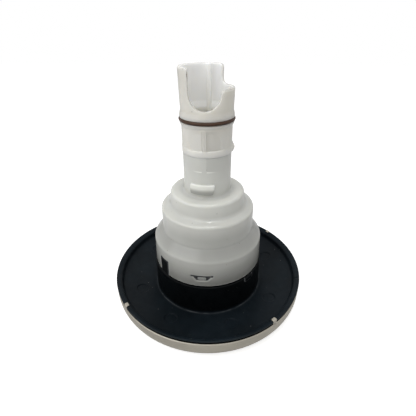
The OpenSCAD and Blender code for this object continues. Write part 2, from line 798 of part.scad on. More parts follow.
module bearing_carrier() {
    seat_top_z = clip_top_z + 1.2;
    lip_in_r = bearing_r - 1.8;
    color([0.8, 0.81, 0.79]) {
        turned([
            [carrier_r - carrier_wall, flange_z - carrier_skirt_l, 0.3],
            [carrier_r, flange_z - carrier_skirt_l, 0.5],
            [carrier_r, flange_z, 0],
            [cup_bore_r - fit_gap, flange_z, 0],
            [cup_bore_r - fit_gap, bore_top_z, 0.5],
            [seat_r + carrier_wall, bore_top_z, 1],
            [seat_r + carrier_wall, seat_top_z, 0.4],
            [seat_r, seat_top_z, 0.2],
            [seat_r, clip_top_z + 0.05, 0],
            [seat_r + clip_depth, clip_top_z + 0.05, 0],
            [seat_r + clip_depth, bearing_top_z - 0.05, 0],
            [seat_r, bearing_top_z - 0.05, 0],
            [seat_r, bearing_z, 0],
            [lip_in_r, bearing_z, 0],
            [lip_in_r, flange_z, 0.5],
            [carrier_r - carrier_wall, flange_z, 1]]);
        for (a = window_angles)
            radial_bar(a, carrier_r - carrier_wall / 2, window_face_r - boss_step, nose_z,
                nose_z + nose_h, nose_low_w, nose_top_w);
    }
}

// Circle of the balls' groove, as an outline to cut from a race
module groove() {
    translate([pitch_r, bearing_z + bearing_w / 2]) circle(r = groove_r, $fn = 64);
}

module bearing_outer_race() {
    color([0.9, 0.9, 0.88])
    rotate_extrude() difference() {
        translate([bearing_r - race_edge, bearing_z]) square([race_edge, bearing_w]);
        groove();
    }
}

module bearing_inner_race() {
    color([0.9, 0.9, 0.88])
    rotate_extrude() difference() {
        translate([hub_r + fit_gap / 2, bearing_z]) square([race_edge - fit_gap / 2, bearing_w]);
        groove();
    }
}

module bearing_balls() {
    color([0.75, 0.76, 0.78])
    for (i = [0:ball_count - 1]) rotate(i * 360 / ball_count)
        translate([pitch_r, 0, bearing_z + bearing_w / 2]) sphere(d = ball_d, $fn = 48);
}

module bearing_cage() {
    half_t = (bearing_r - hub_r - 2 * race_edge) / 2 - 0.35;
    half_h = bearing_w / 2 - 0.7;
    mid = bearing_z + bearing_w / 2;
    color([0.3, 0.33, 0.4])
    difference() {
        ring(pitch_r - half_t, pitch_r + half_t, mid - half_h, mid + half_h);
        for (i = [0:ball_count - 1]) rotate(i * 360 / ball_count)
            translate([pitch_r, 0, mid]) sphere(d = ball_d + 2 * pocket_gap, $fn = 48);
    }
}

// Wedge that opens a retaining ring of radius r
module clip_opening(r) {
    half = asin(clip_gap / 2 / r);
    wedge(-half, half, bearing_top_z - cut, clip_top_z + cut);
}

module bearing_clip() {
    color([0.7, 0.71, 0.72])
    difference() {
        ring(bearing_r - 1.7, seat_r + clip_depth - 0.1, bearing_top_z, clip_top_z);
        clip_opening(bearing_r);
    }
}

module rotor_clip() {
    color([0.7, 0.71, 0.72])
    difference() {
        ring(hub_r - clip_depth + 0.1, hub_r + 1.3, bearing_top_z, clip_top_z);
        clip_opening(hub_r);
    }
}

// ---- Rotor ----

module rotor_body() {
    cone_top_z = manifold_top_z + manifold_cone_h;
    color([0.16, 0.17, 0.18])
    turned([
        [manifold_in_r, manifold_z, 0],
        [manifold_r, manifold_z, 0],
        [manifold_r, manifold_top_z, 3],
        [shoulder_r, cone_top_z, 4],
        [shoulder_r, bearing_z, 0],
        [hub_r, bearing_z, 0],
        [hub_r, bearing_top_z, 0],
        [hub_r - clip_depth, bearing_top_z, 0],
        [hub_r - clip_depth, clip_top_z, 0],
        [hub_r, clip_top_z, 0],
        [hub_r, hub_top_z, 0.4],
        [hub_bore_r, hub_top_z, 0.4],
        [hub_bore_r, cone_top_z + 1, 6],
        [manifold_in_r, manifold_top_z, 3]]);
}

// Places its children at an outlet: side is -1 or 1, z runs along the outlet's bore
module at_outlet(side) {
    rotate(side > 0 ? 0 : 180) translate([outlet_ring_r, 0, cap_z]) rotate([outlet_tilt, 0, 0])
        children();
}

outlet_out_r = outlet_r + outlet_wall;
outlet_low = -0.6;

module rotor_face() {
    boss_r = outlet_out_r + 1.5;
    boss_low = (sheet_t + 0.3 + boss_r * sin(outlet_tilt)) / cos(outlet_tilt);
    floor_z = cap_z + sheet_t;
    edge_z = cap_z + cap_drop;
    flat_r = cap_r - cap_rim_w;
    color([0.1, 0.11, 0.12])
    difference() {
        union() {
            turned([
                [0, floor_z, 0],
                [flat_r, floor_z, 1],
                [cap_r - sheet_t - fit_gap, edge_z + sheet_t, 0.3],
                [cap_r - sheet_t - fit_gap, manifold_z + 0.4, 0],
                [rotor_r, manifold_z + 0.4, 0.3],
                [rotor_r, manifold_z + 4, 0.3],
                [rotor_r - 1.6, manifold_z + 4, 0],
                [rotor_r - 1.6, manifold_z + 2, 0],
                [manifold_r + fit_gap, manifold_z + 2, 0],
                [manifold_r + fit_gap, manifold_z, 0],
                [manifold_in_r - fit_gap, manifold_z, 0],
                [manifold_in_r - fit_gap, manifold_z + 3, 0.3],
                [manifold_in_r - 2, manifold_z + 3, 0.3],
                [manifold_in_r - 2, manifold_z, 0],
                [0, manifold_z, 0]]);
            for (side = [-1, 1]) at_outlet(side)
                translate([0, 0, boss_low]) cylinder(r = boss_r, h = outlet_boss_l);
        }
        for (side = [-1, 1]) at_outlet(side)
            translate([0, 0, -outlet_l]) cylinder(r = outlet_out_r + fit_gap, h = 3 * outlet_l);
    }
}

// Outlet nozzle: a tube with a rounded flange in front of the cap
module outlet_nozzle(side) {
    at_outlet(side) turned([
        [outlet_r, outlet_low - 1, 0.6],
        [outlet_out_r + 0.2, outlet_low - 1, 0.6],
        [outlet_out_r, outlet_low - 0.3, 0],
        [outlet_out_r, outlet_low + outlet_l, 0.4],
        [outlet_r + 0.2, outlet_low + outlet_l, 0.3]]);
}

module outlet_nozzle_left() {
    color([0.78, 0.79, 0.78]) outlet_nozzle(-1);
}

module outlet_nozzle_right() {
    color([0.78, 0.79, 0.78]) outlet_nozzle(1);
}

module rotor_cap() {
    edge_z = cap_z + cap_drop;
    flat_r = cap_r - cap_rim_w;
    color([0.66, 0.64, 0.6])
    difference() {
        turned([
            [0, cap_z, 0],
            [flat_r, cap_z, 1],
            [cap_r, edge_z, 0.5],
            [cap_r, manifold_z + 0.4, 0],
            [cap_r - sheet_t, manifold_z + 0.4, 0],
            [cap_r - sheet_t, edge_z + sheet_t, 0.2],
            [flat_r, cap_z + sheet_t, 1],
            [0, cap_z + sheet_t, 0]]);
        for (side = [-1, 1]) at_outlet(side)
            translate([0, 0, -outlet_l / 2]) cylinder(r = outlet_out_r + 0.5, h = outlet_l);
    }
}

steel_trim();
escutcheon();
housing();
inlet_barrel();
barrel_o_ring();
venturi_nozzle();
nozzle_o_ring();
diffuser();
wear_ring();
bearing_carrier();
bearing_outer_race();
bearing_inner_race();
bearing_balls();
bearing_cage();
bearing_clip();
rotor_clip();
rotor_body();
rotor_face();
outlet_nozzle_left();
outlet_nozzle_right();
rotor_cap();
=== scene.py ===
"""Looks of a rotary hot tub jet insert that stands on its face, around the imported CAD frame.

Lengths in this script are millimetres until a mesh is made. Shapes are distance fields, negative
inside, in polar coordinates about the jet's axis: r, a (the angle from +X, in radians) and z.
"""
import math

import bmesh
import bpy
import numpy as np
from mathutils import Matrix, Vector


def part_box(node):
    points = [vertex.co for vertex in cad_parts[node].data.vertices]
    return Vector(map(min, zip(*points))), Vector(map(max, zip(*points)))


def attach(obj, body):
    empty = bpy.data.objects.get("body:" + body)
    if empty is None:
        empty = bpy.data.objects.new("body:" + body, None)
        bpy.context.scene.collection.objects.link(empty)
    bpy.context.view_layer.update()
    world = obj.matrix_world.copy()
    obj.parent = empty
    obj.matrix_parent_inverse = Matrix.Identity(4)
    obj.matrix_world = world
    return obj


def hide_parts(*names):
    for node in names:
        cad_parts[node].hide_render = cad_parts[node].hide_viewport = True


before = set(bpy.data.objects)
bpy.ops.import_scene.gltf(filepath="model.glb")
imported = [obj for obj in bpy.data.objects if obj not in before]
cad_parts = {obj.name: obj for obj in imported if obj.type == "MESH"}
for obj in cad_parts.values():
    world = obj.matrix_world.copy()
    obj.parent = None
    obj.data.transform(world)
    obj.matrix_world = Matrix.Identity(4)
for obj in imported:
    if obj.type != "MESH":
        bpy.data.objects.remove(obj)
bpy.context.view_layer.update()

MM = 0.001


# ---- Sizes, from the frame ----

def corners(node):
    low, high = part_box(node)
    return np.array(low) / MM, np.array(high) / MM


housing_low, housing_high = corners("housing")
barrel_low, barrel_high = corners("inlet_barrel")
ring_low, ring_high = corners("barrel_o_ring")
_, trim_high = corners("steel_trim")

FRONT = -math.pi / 2
SHEET = 0.6                          # steel sheet
FACE_R = trim_high[0]
RIM_Z = trim_high[2] - 0.2           # the folded tabs stand a little out of the rim
RIM_LIP_H = 1.4                      # the rim's lip hangs over an open groove
LAND_R, LAND_Z = FACE_R - 3.5, RIM_Z - 2.2
PAN_OUT_R, PAN_OUT_Z = LAND_R - 0.7, LAND_Z - 3.5
PAN_IN_Z = PAN_OUT_Z - 4.8
PAN_T = 2.2
LEDGE_Z = PAN_IN_Z + 21.4

CUP_R, CUP_Z = housing_high[0], housing_low[2]
CUP_T = 2.5
CUP_TOP_Z = CUP_Z + 17.1
MID_R, MID_T, MID_Z = 29.0, 2.4, CUP_TOP_Z + 6.3
MID_TOP_Z = MID_Z + 14.3
TOP_R, TOP_T, UPPER_Z = 23.6, 3.7, MID_TOP_Z + 1.9
UPPER_TOP_Z = UPPER_Z + 8.9
NECK_R, NECK_Z = 14.0, UPPER_TOP_Z - 0.3
NECK_TOP_Z = housing_high[2]
COLLAR_R = CUP_R + 0.5
COLLAR_FOOT_R = COLLAR_R + 0.7
OPENING_R = COLLAR_R - 1.9
SPIGOT_R, SPIGOT_TOP_Z = CUP_R - 2.6, LEDGE_Z + 14.8
NECK_BORE_R = NECK_R - 2
SEAT_Z = barrel_low[2] - 3.5         # seat of the nozzle, under the barrel's spigot

BARREL_Z, BARREL_TOP_Z = barrel_low[2], barrel_high[2]
BARREL_R = 14.45
RING_D = ring_high[2] - ring_low[2]
RING_Z = (ring_high[2] + ring_low[2]) / 2
RING_R = ring_high[0] - RING_D / 2
GLAND_H = RING_D / 2 + 0.05
LIP_R = 15.0
FLANGE_R = NECK_R + 0.3
BAND_R = FLANGE_R - 0.15
RIB_T = 2.3
PORT_R, PORT_Z = 8.2, NECK_TOP_Z + 32.4
LOW_WALL_Z = PORT_Z + 1.6
INLET_BORE_R, SPIGOT_BORE_R = 11.5, 9.8
FLANGE_H = 3.6

KEY_ANGLES = [math.radians(-135), math.radians(45)]
KEY_HALF, SLOT_HALF = 4.15, 4.25
KEY_TOP_Z = CUP_Z + 10.6
WINDOW_ANGLES = [math.radians(a) for a in (-90, 0, 90, 180)]
PAD_ANGLES = [math.radians(-38.5), math.radians(141.5)]
PAD_HALF, PAD_LOW_Z, PAD_ROUND = 3.6, LEDGE_Z - 3.4, 1.4
TAB_ANGLES = [math.radians(43.5 + 90 * i) for i in range(4)]
TAB_W, TAB_REACH, TAB_BEND = 2.8, 2.2, 0.7
MARK_ANGLES = [math.radians(side + off) for side in (0, 180)
               for off in (-26.5, 26.5, 90 - 23, 90 + 23)]
MARK_RING_R, MARK_R, MARK_DEPTH = 47.4, 3.9, 0.45
# Half widths of the recess and of the two seams in the rim's land, by their angles
LAND_CUTS = {math.radians(-83): 2.75, math.radians(-8): 0.4, math.radians(167): 0.4}


# ---- Distance fields ----

def round_max(a, b, size):
    """Intersection of two fields, with its edge rounded over about that size."""
    near = np.maximum(size - np.abs(a - b), 0)
    return np.maximum(a, b) + near * near / (4 * size)


def round_min(a, b, size):
    """Union of two fields, with a fillet of about that size."""
    return -round_max(-a, -b, size)


def carve(body, hole, size=0.35):
    return round_max(body, -hole, size)


def slab(value, low, high):
    return np.abs(value - (low + high) / 2) - (high - low) / 2


def turn(a, middle):
    """Angle from the middle, between -pi and pi."""
    return (a - middle + math.pi) % (2 * math.pi) - math.pi


def local(r, a, angle):
    """Distance out along an angle and distance to its left."""
    return r * np.cos(a - angle), r * np.sin(a - angle)


def near(a, middles, reach):
    """Those of the middles that any of the angles comes within reach of, in degrees."""
    return [m for m in middles if np.abs(turn(a, m)).min() < math.radians(reach)]


def outline(points, arc_step=math.radians(10)):
    """Closed outline from (x, y, radius) corners, each rounded to its radius."""
    path = []
    for i, (x, y, radius) in enumerate(points):
        here = np.array([x, y])
        before = np.array(points[i - 1][:2]) - here
        after = np.array(points[(i + 1) % len(points)][:2]) - here
        room = 0.48 * min(np.linalg.norm(before), np.linalg.norm(after))
        before, after = before / np.linalg.norm(before), after / np.linalg.norm(after)
        half = math.acos(np.clip(before @ after, -1, 1)) / 2
        radius = min(radius, room * math.tan(half))
        if radius < 0.01 or half > math.radians(89):
            path.append(here)
            continue
        centre = here + (before + after) / np.linalg.norm(before + after) * radius / math.sin(half)
        first = here + before * radius / math.tan(half) - centre
        last = here + after * radius / math.tan(half) - centre
        start = math.atan2(first[1], first[0])
        sweep = math.atan2(first[0] * last[1] - first[1] * last[0], first @ last)
        count = max(2, math.ceil(abs(sweep) / arc_step))
        for k in range(count + 1):
            angle = start + sweep * k / count
            path.append(centre + radius * np.array([math.cos(angle), math.sin(angle)]))
    return np.array(path)


def inside_outline(path, x, y):
    """Signed distance to a closed outline, negative inside."""
    nearest, inside = np.inf, False
    for (ax, ay), (bx, by) in zip(path, np.roll(path, -1, 0)):
        ex, ey = bx - ax, by - ay
        px, py = x - ax, y - ay
        along = np.clip((px * ex + py * ey) / (ex * ex + ey * ey), 0, 1)
        nearest = np.minimum(nearest, (px - along * ex) ** 2 + (py - along * ey) ** 2)
        if ey:
            inside ^= ((ay > y) != (by > y)) & (px < py * ex / ey)
    return np.where(inside, -1, 1) * np.sqrt(nearest)


# ---- Meshes ----

SECTORS = 72      # a field is worked out in as many turns, so that it can skip what is far off
COARSE = 1.0


def new_object(name, vertices, faces):
    """Smooth mesh object from vertices in millimetres and quads."""
    mesh = bpy.data.meshes.new(name)
    mesh.vertices.add(len(vertices))
    mesh.vertices.foreach_set("co", (vertices * MM).astype(np.float32).ravel())
    mesh.loops.add(faces.size)
    mesh.loops.foreach_set("vertex_index", faces.astype(np.int32).ravel())
    mesh.polygons.add(len(faces))
    mesh.polygons.foreach_set("loop_start", np.arange(len(faces), dtype=np.int32) * faces.shape[1])
    mesh.update(calc_edges=True)
    mesh.validate()
    mesh.shade_smooth()
    piece = bpy.data.objects.new(name, mesh)
    bpy.context.scene.collection.objects.link(piece)
    return piece


def zero_surface(value):
    """Vertices, as grid indices, and quads of the surface where a grid's values change sign.
    The grid's first axis closes on itself. The surface stays open at the start of the last."""
    shape = np.array(value.shape)
    cells, spots, quads = [], [], []
    for axis in range(3):
        after = np.roll(value, -1, axis)
        crossed = (value < 0) != (after < 0)
        if axis:
            crossed[(slice(None),) * axis + (-1,)] = False
        edge = np.argwhere(crossed)
        start, end = value[crossed], after[crossed]
        spot = edge.astype(float)
        spot[:, axis] += start / (start - end)
        across, up = (axis + 1) % 3, (axis + 2) % 3
        whole = (edge[:, 2] > 0) | (axis == 2)
        edge, spot, start = edge[whole], spot[whole], start[whole]
        ring = []
        for step_across, step_up in ((0, 0), (1, 0), (1, 1), (0, 1)):
            cell, here = edge.copy(), spot.copy()
            cell[:, across] -= step_across
            cell[:, up] -= step_up
            wrapped = cell[:, 0] < 0
            cell[wrapped, 0] += shape[0]
            here[wrapped, 0] += shape[0]
            ring.append(np.ravel_multi_index(cell.T, shape))
            spots.append(here)
        cells += ring
        ring = np.stack(ring, 1)
        ring[start >= 0] = ring[start >= 0][:, ::-1]
        quads.append(ring)
    ids, place = np.unique(np.concatenate(cells), return_inverse=True)
    spots, number = np.concatenate(spots), np.bincount(place)
    vertices = [np.bincount(place, spots[:, k]) / number for k in range(3)]
    return vertices, np.searchsorted(ids, np.concatenate(quads))


def settle(field, position, nudge=0.02, reach=0.3, rounds=2):
    """Moves points onto the surface where the field is zero."""
    def at(p):
        return field(np.hypot(p[0], p[1]), np.arctan2(p[1], p[0]), p[2])
    for _ in range(rounds):
        value = at(position)
        slope = []
        for k in range(3):
            moved = position.copy()
            moved[k] += nudge
            slope.append((at(moved) - value) / nudge)
        slope = np.array(slope)
        steep = np.maximum((slope ** 2).sum(0), 0.2)
        position = position - slope * np.clip(value / steep, -reach, reach)
    return position


def field_piece(name, field, angles, heights, radii):
    """Piece whose surface is where the field is zero, found on a polar grid."""
    shape = (len(angles), len(heights), len(radii))
    value = np.empty(shape, np.float32)
    for some in np.array_split(np.arange(len(angles)), SECTORS):
        a = angles[some].astype(np.float32)[:, None, None]
        z = heights.astype(np.float32)[None, :, None]
        value[some] = field(radii.astype(np.float32)[None, None, :], a, z)
    (turns, ups, outs), quads = zero_surface(value)
    a = np.interp(turns, np.arange(len(angles) + 1), np.append(angles, angles[0] + 2 * math.pi))
    z = np.interp(ups, np.arange(len(heights)), heights)
    r = np.interp(outs, np.arange(len(radii)), radii)
    position = np.array([r * np.cos(a), r * np.sin(a), z])
    parts = [settle(field, part) for part in np.array_split(position, SECTORS, axis=1)]
    return new_object(name, np.concatenate(parts, 1).T, quads)


def close_holes(piece):
    """Closes the small round holes that the grid leaves open at the axis."""
    shape = bmesh.new()
    shape.from_mesh(piece.data)
    edges = [edge for edge in shape.edges if edge.is_boundary]
    caps = bmesh.ops.holes_fill(shape, edges=edges)["faces"]
    bmesh.ops.poke(shape, faces=caps)
    shape.to_mesh(piece.data)
    shape.free()
    piece.data.shade_smooth()


def spaced(low, high, step):
    return np.linspace(low, high, math.ceil((high - low) / step / COARSE) + 1)


def full_turn(count):
    count = round(count / COARSE)
    return np.arange(count) * 2 * math.pi / count


def lathe(path, count=360):
    """Vertices and quads of a closed outline turned about the axis."""
    angle = np.linspace(0, 2 * math.pi, count, endpoint=False)[:, None]
    r, z = path[:, 0][None], path[:, 1][None]
    vertices = np.stack([r * np.cos(angle), r * np.sin(angle), z + 0 * angle], -1).reshape(-1, 3)
    i, j = np.meshgrid(np.arange(count), np.arange(len(path)), indexing="ij")
    near, far = i * len(path), (i + 1) % count * len(path)
    ahead = (j + 1) % len(path)
    quads = np.stack([near + j, far + j, far + ahead, near + ahead], -1).reshape(-1, 4)
    return vertices, quads


def joined(parts):
    """One set of vertices and quads from several."""
    starts = np.cumsum([0] + [len(v) for v, _ in parts])
    return (np.concatenate([v for v, _ in parts]),
            np.concatenate([q + s for (_, q), s in zip(parts, starts)]))


# ---- Housing ----

HOUSING_PATH = outline([
    (CUP_R - CUP_T, CUP_Z, 0.3),
    (CUP_R, CUP_Z, 0.4),
    (CUP_R - 0.6, CUP_TOP_Z, 2.2),
    (MID_R, MID_Z, 1.2),
    (MID_R - 0.2, MID_TOP_Z, 1.7),
    (TOP_R, UPPER_Z, 3),
    (TOP_R - 1.3, UPPER_TOP_Z, 1.8),
    (NECK_R + 0.35, NECK_Z, 1.8),
    (NECK_R, NECK_TOP_Z - 15, 0),
    (NECK_R, NECK_TOP_Z, 0.05),
    (NECK_BORE_R, NECK_TOP_Z, 0.05),
    (NECK_BORE_R, SEAT_Z, 0.2),
    (NECK_BORE_R - 1.5, SEAT_Z, 0.2),
    (NECK_BORE_R - 1.5, NECK_Z - 2.4, 0.5),
    (TOP_R - TOP_T, NECK_Z - 2.4, 1),
    (TOP_R - TOP_T, UPPER_Z - 0.6, 0.5),
    (MID_R - MID_T, MID_TOP_Z - 1.2, 0.5),
    (MID_R - MID_T, MID_Z - 1.2, 0.5),
    (CUP_R - CUP_T, CUP_TOP_Z - 0.6, 0.5)])
LUG_MIDDLE, LUG_HALF = math.radians(-96), math.radians(28.5)
LUG_Z, LUG_H, LUG_T = NECK_Z + 2.6, 6.2, 1.6
AIR_PORT_HALF, AIR_PORT_H = 5, 5.5
WINDOW_Z, WINDOW_H, WINDOW_R = CUP_Z + 4.2, 3.7, CUP_R - 0.21
WINDOW_LOW_H = 2.6                   # height of a window's trapezium, under its wide band
WINDOW_BAND_HALF = 6.8
WINDOW_FROM_R = 20                   # windows and slots are cut from there outward
NOSE_Z, NOSE_H = WINDOW_Z + 0.7, 1.8


def window_field(left, z, grown=0.0):
    """Snap window, a trapezium under a wide band, or the boss in it."""
    band_z = WINDOW_Z + WINDOW_LOW_H
    half = 3.3 + 2 * np.clip((z - WINDOW_Z) / WINDOW_LOW_H, -0.5, 1.3)
    low = round_max((np.abs(left) - half) * 0.8, slab(z, WINDOW_Z, band_z + 0.3), 0.3)
    top = round_max(np.abs(left) - WINDOW_BAND_HALF, slab(z, band_z, WINDOW_Z + WINDOW_H), 0.3)
    return np.minimum(low, top) - grown


def nose_half(z):
    """Half width of a snap nose."""
    return 2.25 + 1.35 * np.clip((z - NOSE_Z) / NOSE_H, -0.5, 1.5)


def housing_field(r, a, z):
    body = inside_outline(HOUSING_PATH, r, z)
    # The lug's face leans out to a ridge and back, and its right end is slanted
    ridge = NECK_R + LUG_T - 0.12 * np.abs(z - LUG_Z - 0.62 * LUG_H)
    across = r * turn(a, LUG_MIDDLE)
    end = np.maximum(-across, across + 0.15 * (LUG_Z + LUG_H - z)) - r * LUG_HALF
    lug = round_max(round_max(slab(z, LUG_Z, LUG_Z + LUG_H), end, 0.8), r - ridge, 0.5)
    lug = np.maximum(lug, NECK_R - 0.8 - r)
    body = round_min(body, lug, 0.5)
    for angle in near(a, KEY_ANGLES, 12):
        out, left = local(r, a, angle)
        slot = round_max(np.abs(left) - SLOT_HALF, slab(z, CUP_Z - 5, KEY_TOP_Z), 0.6)
        body = carve(body, np.maximum(slot, WINDOW_FROM_R - out))
    for angle in near(a, WINDOW_ANGLES, 16):
        out, left = local(r, a, angle)
        body = carve(body, np.maximum(window_field(left, z), WINDOW_FROM_R - out), 0.25)
    for angle in near(a, [-FRONT], 30):
        out, left = local(r, a, angle)
        port = round_max(np.abs(left) - AIR_PORT_HALF, slab(z, LUG_Z, LUG_Z + AIR_PORT_H), 0.8)
        body = carve(body, np.maximum(port, 6 - out))
    return body


def make_housing():
    heights = spaced(CUP_Z - 1, NECK_TOP_Z + 1, 0.42)
    radii = spaced(NECK_BORE_R - 3, CUP_R + 1, 0.4)
    return field_piece("housing_shell", housing_field, full_turn(540), heights, radii)


# ---- Barrel ----

BARREL_PATH = outline([
    (SPIGOT_BORE_R, BARREL_Z, 0.3),
    (NECK_BORE_R - 0.05, BARREL_Z, 0.3),
    (NECK_BORE_R - 0.05, NECK_TOP_Z, 0.1),
    (FLANGE_R, NECK_TOP_Z, 0.2),
    (FLANGE_R, NECK_TOP_Z + FLANGE_H, 0.4),
    (BAND_R, NECK_TOP_Z + 3.9, 0.3),
    (BAND_R, RING_Z - GLAND_H - 2.4, 0.6),
    (LIP_R, RING_Z - GLAND_H - 0.8, 0.4),
    (LIP_R, RING_Z - GLAND_H, 0.15),
    (RING_R - RING_D / 2, RING_Z - GLAND_H, 0.2),
    (RING_R - RING_D / 2, RING_Z + GLAND_H, 0.2),
    (LIP_R, RING_Z + GLAND_H, 0.15),
    (LIP_R, RING_Z + GLAND_H + 1.4, 0.5),
    (BARREL_R, RING_Z + GLAND_H + 3.8, 2),
    (BARREL_R + 0.5, BARREL_TOP_Z, 0.7),
    (BARREL_R - 1.5, BARREL_TOP_Z, 0.6),
    (BARREL_R - 2, RING_Z + GLAND_H + 5.2, 0.8),
    (INLET_BORE_R, RING_Z + GLAND_H + 2, 0.8),
    (INLET_BORE_R, NECK_TOP_Z + FLANGE_H, 1),
    (SPIGOT_BORE_R, NECK_TOP_Z + 1, 1)])
PANEL_HALF = math.radians(41)
LOW_WALL_FROM = FRONT + math.asin(PORT_R / BARREL_R)
LOW_WALL_TO = math.radians(56)
NUB_R, NUB_Z = 3, NECK_TOP_Z + 2.25


def panel_recess(r, a, z, middle):
    """Pair of shallow panels beside a rib, with broad round corners and edges that fade out."""
    across = r * turn(a, middle)
    field = round_max(np.abs(across) - BAND_R * PANEL_HALF, z - RING_Z + GLAND_H + 2.8, 5)
    depth = np.clip(-0.35 * field, -0.2, 0.5)
    field = np.maximum(field - 0.6, np.maximum(BAND_R - depth - r, NECK_TOP_Z + FLANGE_H - z))
    return round_max(field, RIB_T / 2 - np.abs(across), 0.3)


def barrel_field(r, a, z):
    x, y = r * np.cos(a), r * np.sin(a)
    body = inside_outline(BARREL_PATH, r, z)
    for middle in (FRONT, -FRONT):
        body = carve(body, panel_recess(r, a, z, middle), 0.35)
    plate = np.abs(x) - RIB_T / 2
    vane = round_max(plate, slab(z, BARREL_Z, RING_Z - 3.3), 0.5)
    vane_r = np.where(z < NECK_TOP_Z + 1, SPIGOT_BORE_R, INLET_BORE_R) + 0.1
    body = round_min(body, np.maximum(vane, r - vane_r), 0.4)
    rib = round_max(plate, slab(r, BARREL_R - 4, BARREL_R - 0.7), 0.6)
    rib = np.maximum(rib, slab(z, RING_Z - 1, BARREL_TOP_Z - 0.4))
    body = round_min(body, np.maximum(rib, 2 - y), 0.5)
    nub = np.sqrt((x - FLANGE_R + 1.7) ** 2 + y ** 2 + (z - NUB_Z) ** 2) - NUB_R
    nub = round_max(nub, NECK_TOP_Z - z, 0.3)
    body = round_min(body, np.maximum(nub, 12.9 - x), 1.2)
    port = np.where(z > PORT_Z, np.abs(x), np.hypot(x, z - PORT_Z)) - PORT_R
    port = np.maximum(port, y)
    kept = round_max(z - BARREL_TOP_Z, -port, 2)
    span = (LOW_WALL_TO - LOW_WALL_FROM) / 2
    beside = r * (span - np.abs(turn(a, LOW_WALL_FROM + span)))
    high_wall = round_max(z - BARREL_TOP_Z, beside, 3)
    kept = round_max(kept, round_min(z - LOW_WALL_Z, high_wall, 3.5), 2.5)
    return round_max(body, kept, 0.7)


def make_barrel():
    heights = spaced(BARREL_Z - 1, BARREL_TOP_Z + 1, 0.24)
    radii = spaced(0.3, BARREL_R + 2, 0.26)
    barrel = field_piece("inlet_barrel_shell", barrel_field, full_turn(420), heights, radii)
    close_holes(barrel)
    return barrel


def make_o_ring():
    turns = np.arange(28) * 2 * math.pi / 28
    path = np.stack([RING_R + RING_D / 2 * np.cos(turns), RING_Z + RING_D / 2 * np.sin(turns)], 1)
    return new_object("barrel_seal", *lathe(path))


# ---- Face ----

def escutcheon_path():
    side_r, groove_r = FACE_R - SHEET - 0.1, FACE_R - SHEET - 1.3
    low_z = PAN_OUT_Z - PAN_T
    return outline([
        (OPENING_R, 3, 0.5),
        (COLLAR_FOOT_R - 0.2, 3, 0.5),
        (COLLAR_FOOT_R - 0.2, PAN_IN_Z - PAN_T, 0.3),
        (PAN_OUT_R, low_z, 0.3),
        (side_r, low_z, 0.6),
        (side_r, RIM_Z - 3.3, 0.1),
        (groove_r, RIM_Z - 3.3, 0.1),
        (groove_r, RIM_Z - 2.5, 0.1),
        (FACE_R, RIM_Z - RIM_LIP_H, 0.2),
        (FACE_R, RIM_Z, 0.6),
        (LAND_R, LAND_Z, 0.6),
        (PAN_OUT_R, PAN_OUT_Z, 1.8),
        (COLLAR_FOOT_R, PAN_IN_Z, 1.1),
        (COLLAR_R, LEDGE_Z, 0.35),
        (SPIGOT_R, LEDGE_Z, 0.3),
        (SPIGOT_R, SPIGOT_TOP_Z, 0.4),
        (SPIGOT_R - 2, SPIGOT_TOP_Z, 0.2),
        (SPIGOT_R - 2, LEDGE_Z, 0.3),
        (OPENING_R, LEDGE_Z - 4, 0.5)])


ESCUTCHEON_PATH = escutcheon_path()
PAN_SLOPE = (PAN_OUT_Z - PAN_IN_Z) / (PAN_OUT_R - COLLAR_FOOT_R)


def escutcheon_field(r, a, z):
    body = inside_outline(ESCUTCHEON_PATH, r, z)
    for angle in near(a, KEY_ANGLES, 12):
        out, left = local(r, a, angle)
        key = round_max(np.abs(left) - KEY_HALF, slab(z, LEDGE_Z - 1, KEY_TOP_Z - 0.15), 0.5)
        key = round_max(key, slab(out, SPIGOT_R - 1.5, CUP_R - 0.35), 0.5)
        body = round_min(body, key, 0.2)
    for angle in near(a, PAD_ANGLES, 10):
        out, left = local(r, a, angle)
        pad = round_max(np.abs(left) - PAD_HALF, slab(z, PAD_LOW_Z, LEDGE_Z + 2), PAD_ROUND)
        pad = round_max(pad, r - COLLAR_R - 0.5 + 0.03 * (z - LEDGE_Z + 6), 0.2)
        pad = np.maximum(pad, z - LEDGE_Z + 0.7)
        body = np.minimum(body, np.maximum(pad, COLLAR_R - 1.5 - r))
    surface = z - PAN_IN_Z - PAN_SLOPE * (r - COLLAR_FOOT_R)
    for angle in near(a, MARK_ANGLES, 8):
        out, left = local(r, a, angle)
        mark = np.maximum(np.hypot(out - MARK_RING_R, left) - MARK_R, np.abs(surface) - MARK_DEPTH)
        body = carve(body, mark, 0.14)
    for angle in near(a, WINDOW_ANGLES, 14):
        out, left = local(r, a, angle)
        boss = np.maximum(window_field(left, z, -0.15), slab(out, SPIGOT_R - 1.5, WINDOW_R - 0.3))
        body = round_min(body, boss, 0.2)
        hole = np.maximum((np.abs(left) - nose_half(z) - 0.1) * 0.8,
                          slab(z, NOSE_Z - 0.1, NOSE_Z + NOSE_H + 0.1))
        body = carve(body, np.maximum(hole, WINDOW_FROM_R - out), 0.12)
    for angle in near(a, TAB_ANGLES, 5):
        out, left = local(r, a, angle)
        beside = np.abs(left) - TAB_W / 2 - 0.2
        notch = np.maximum(FACE_R - TAB_REACH - 0.3 - out, RIM_Z - SHEET - z)
        notch = np.minimum(notch, FACE_R - SHEET - 0.12 - out)
        body = carve(body, np.maximum(beside, notch), 0.1)
    land = z - LAND_Z - (RIM_Z - LAND_Z) * (r - LAND_R) / (FACE_R - LAND_R)
    for angle in near(a, LAND_CUTS, 5):
        half = LAND_CUTS[angle]
        out, left = local(r, a, angle)
        cut = np.maximum(np.abs(left) - half, np.maximum(LAND_R - 2 - out, -0.35 - land))
        body = carve(body, cut, 0.12)
    return body


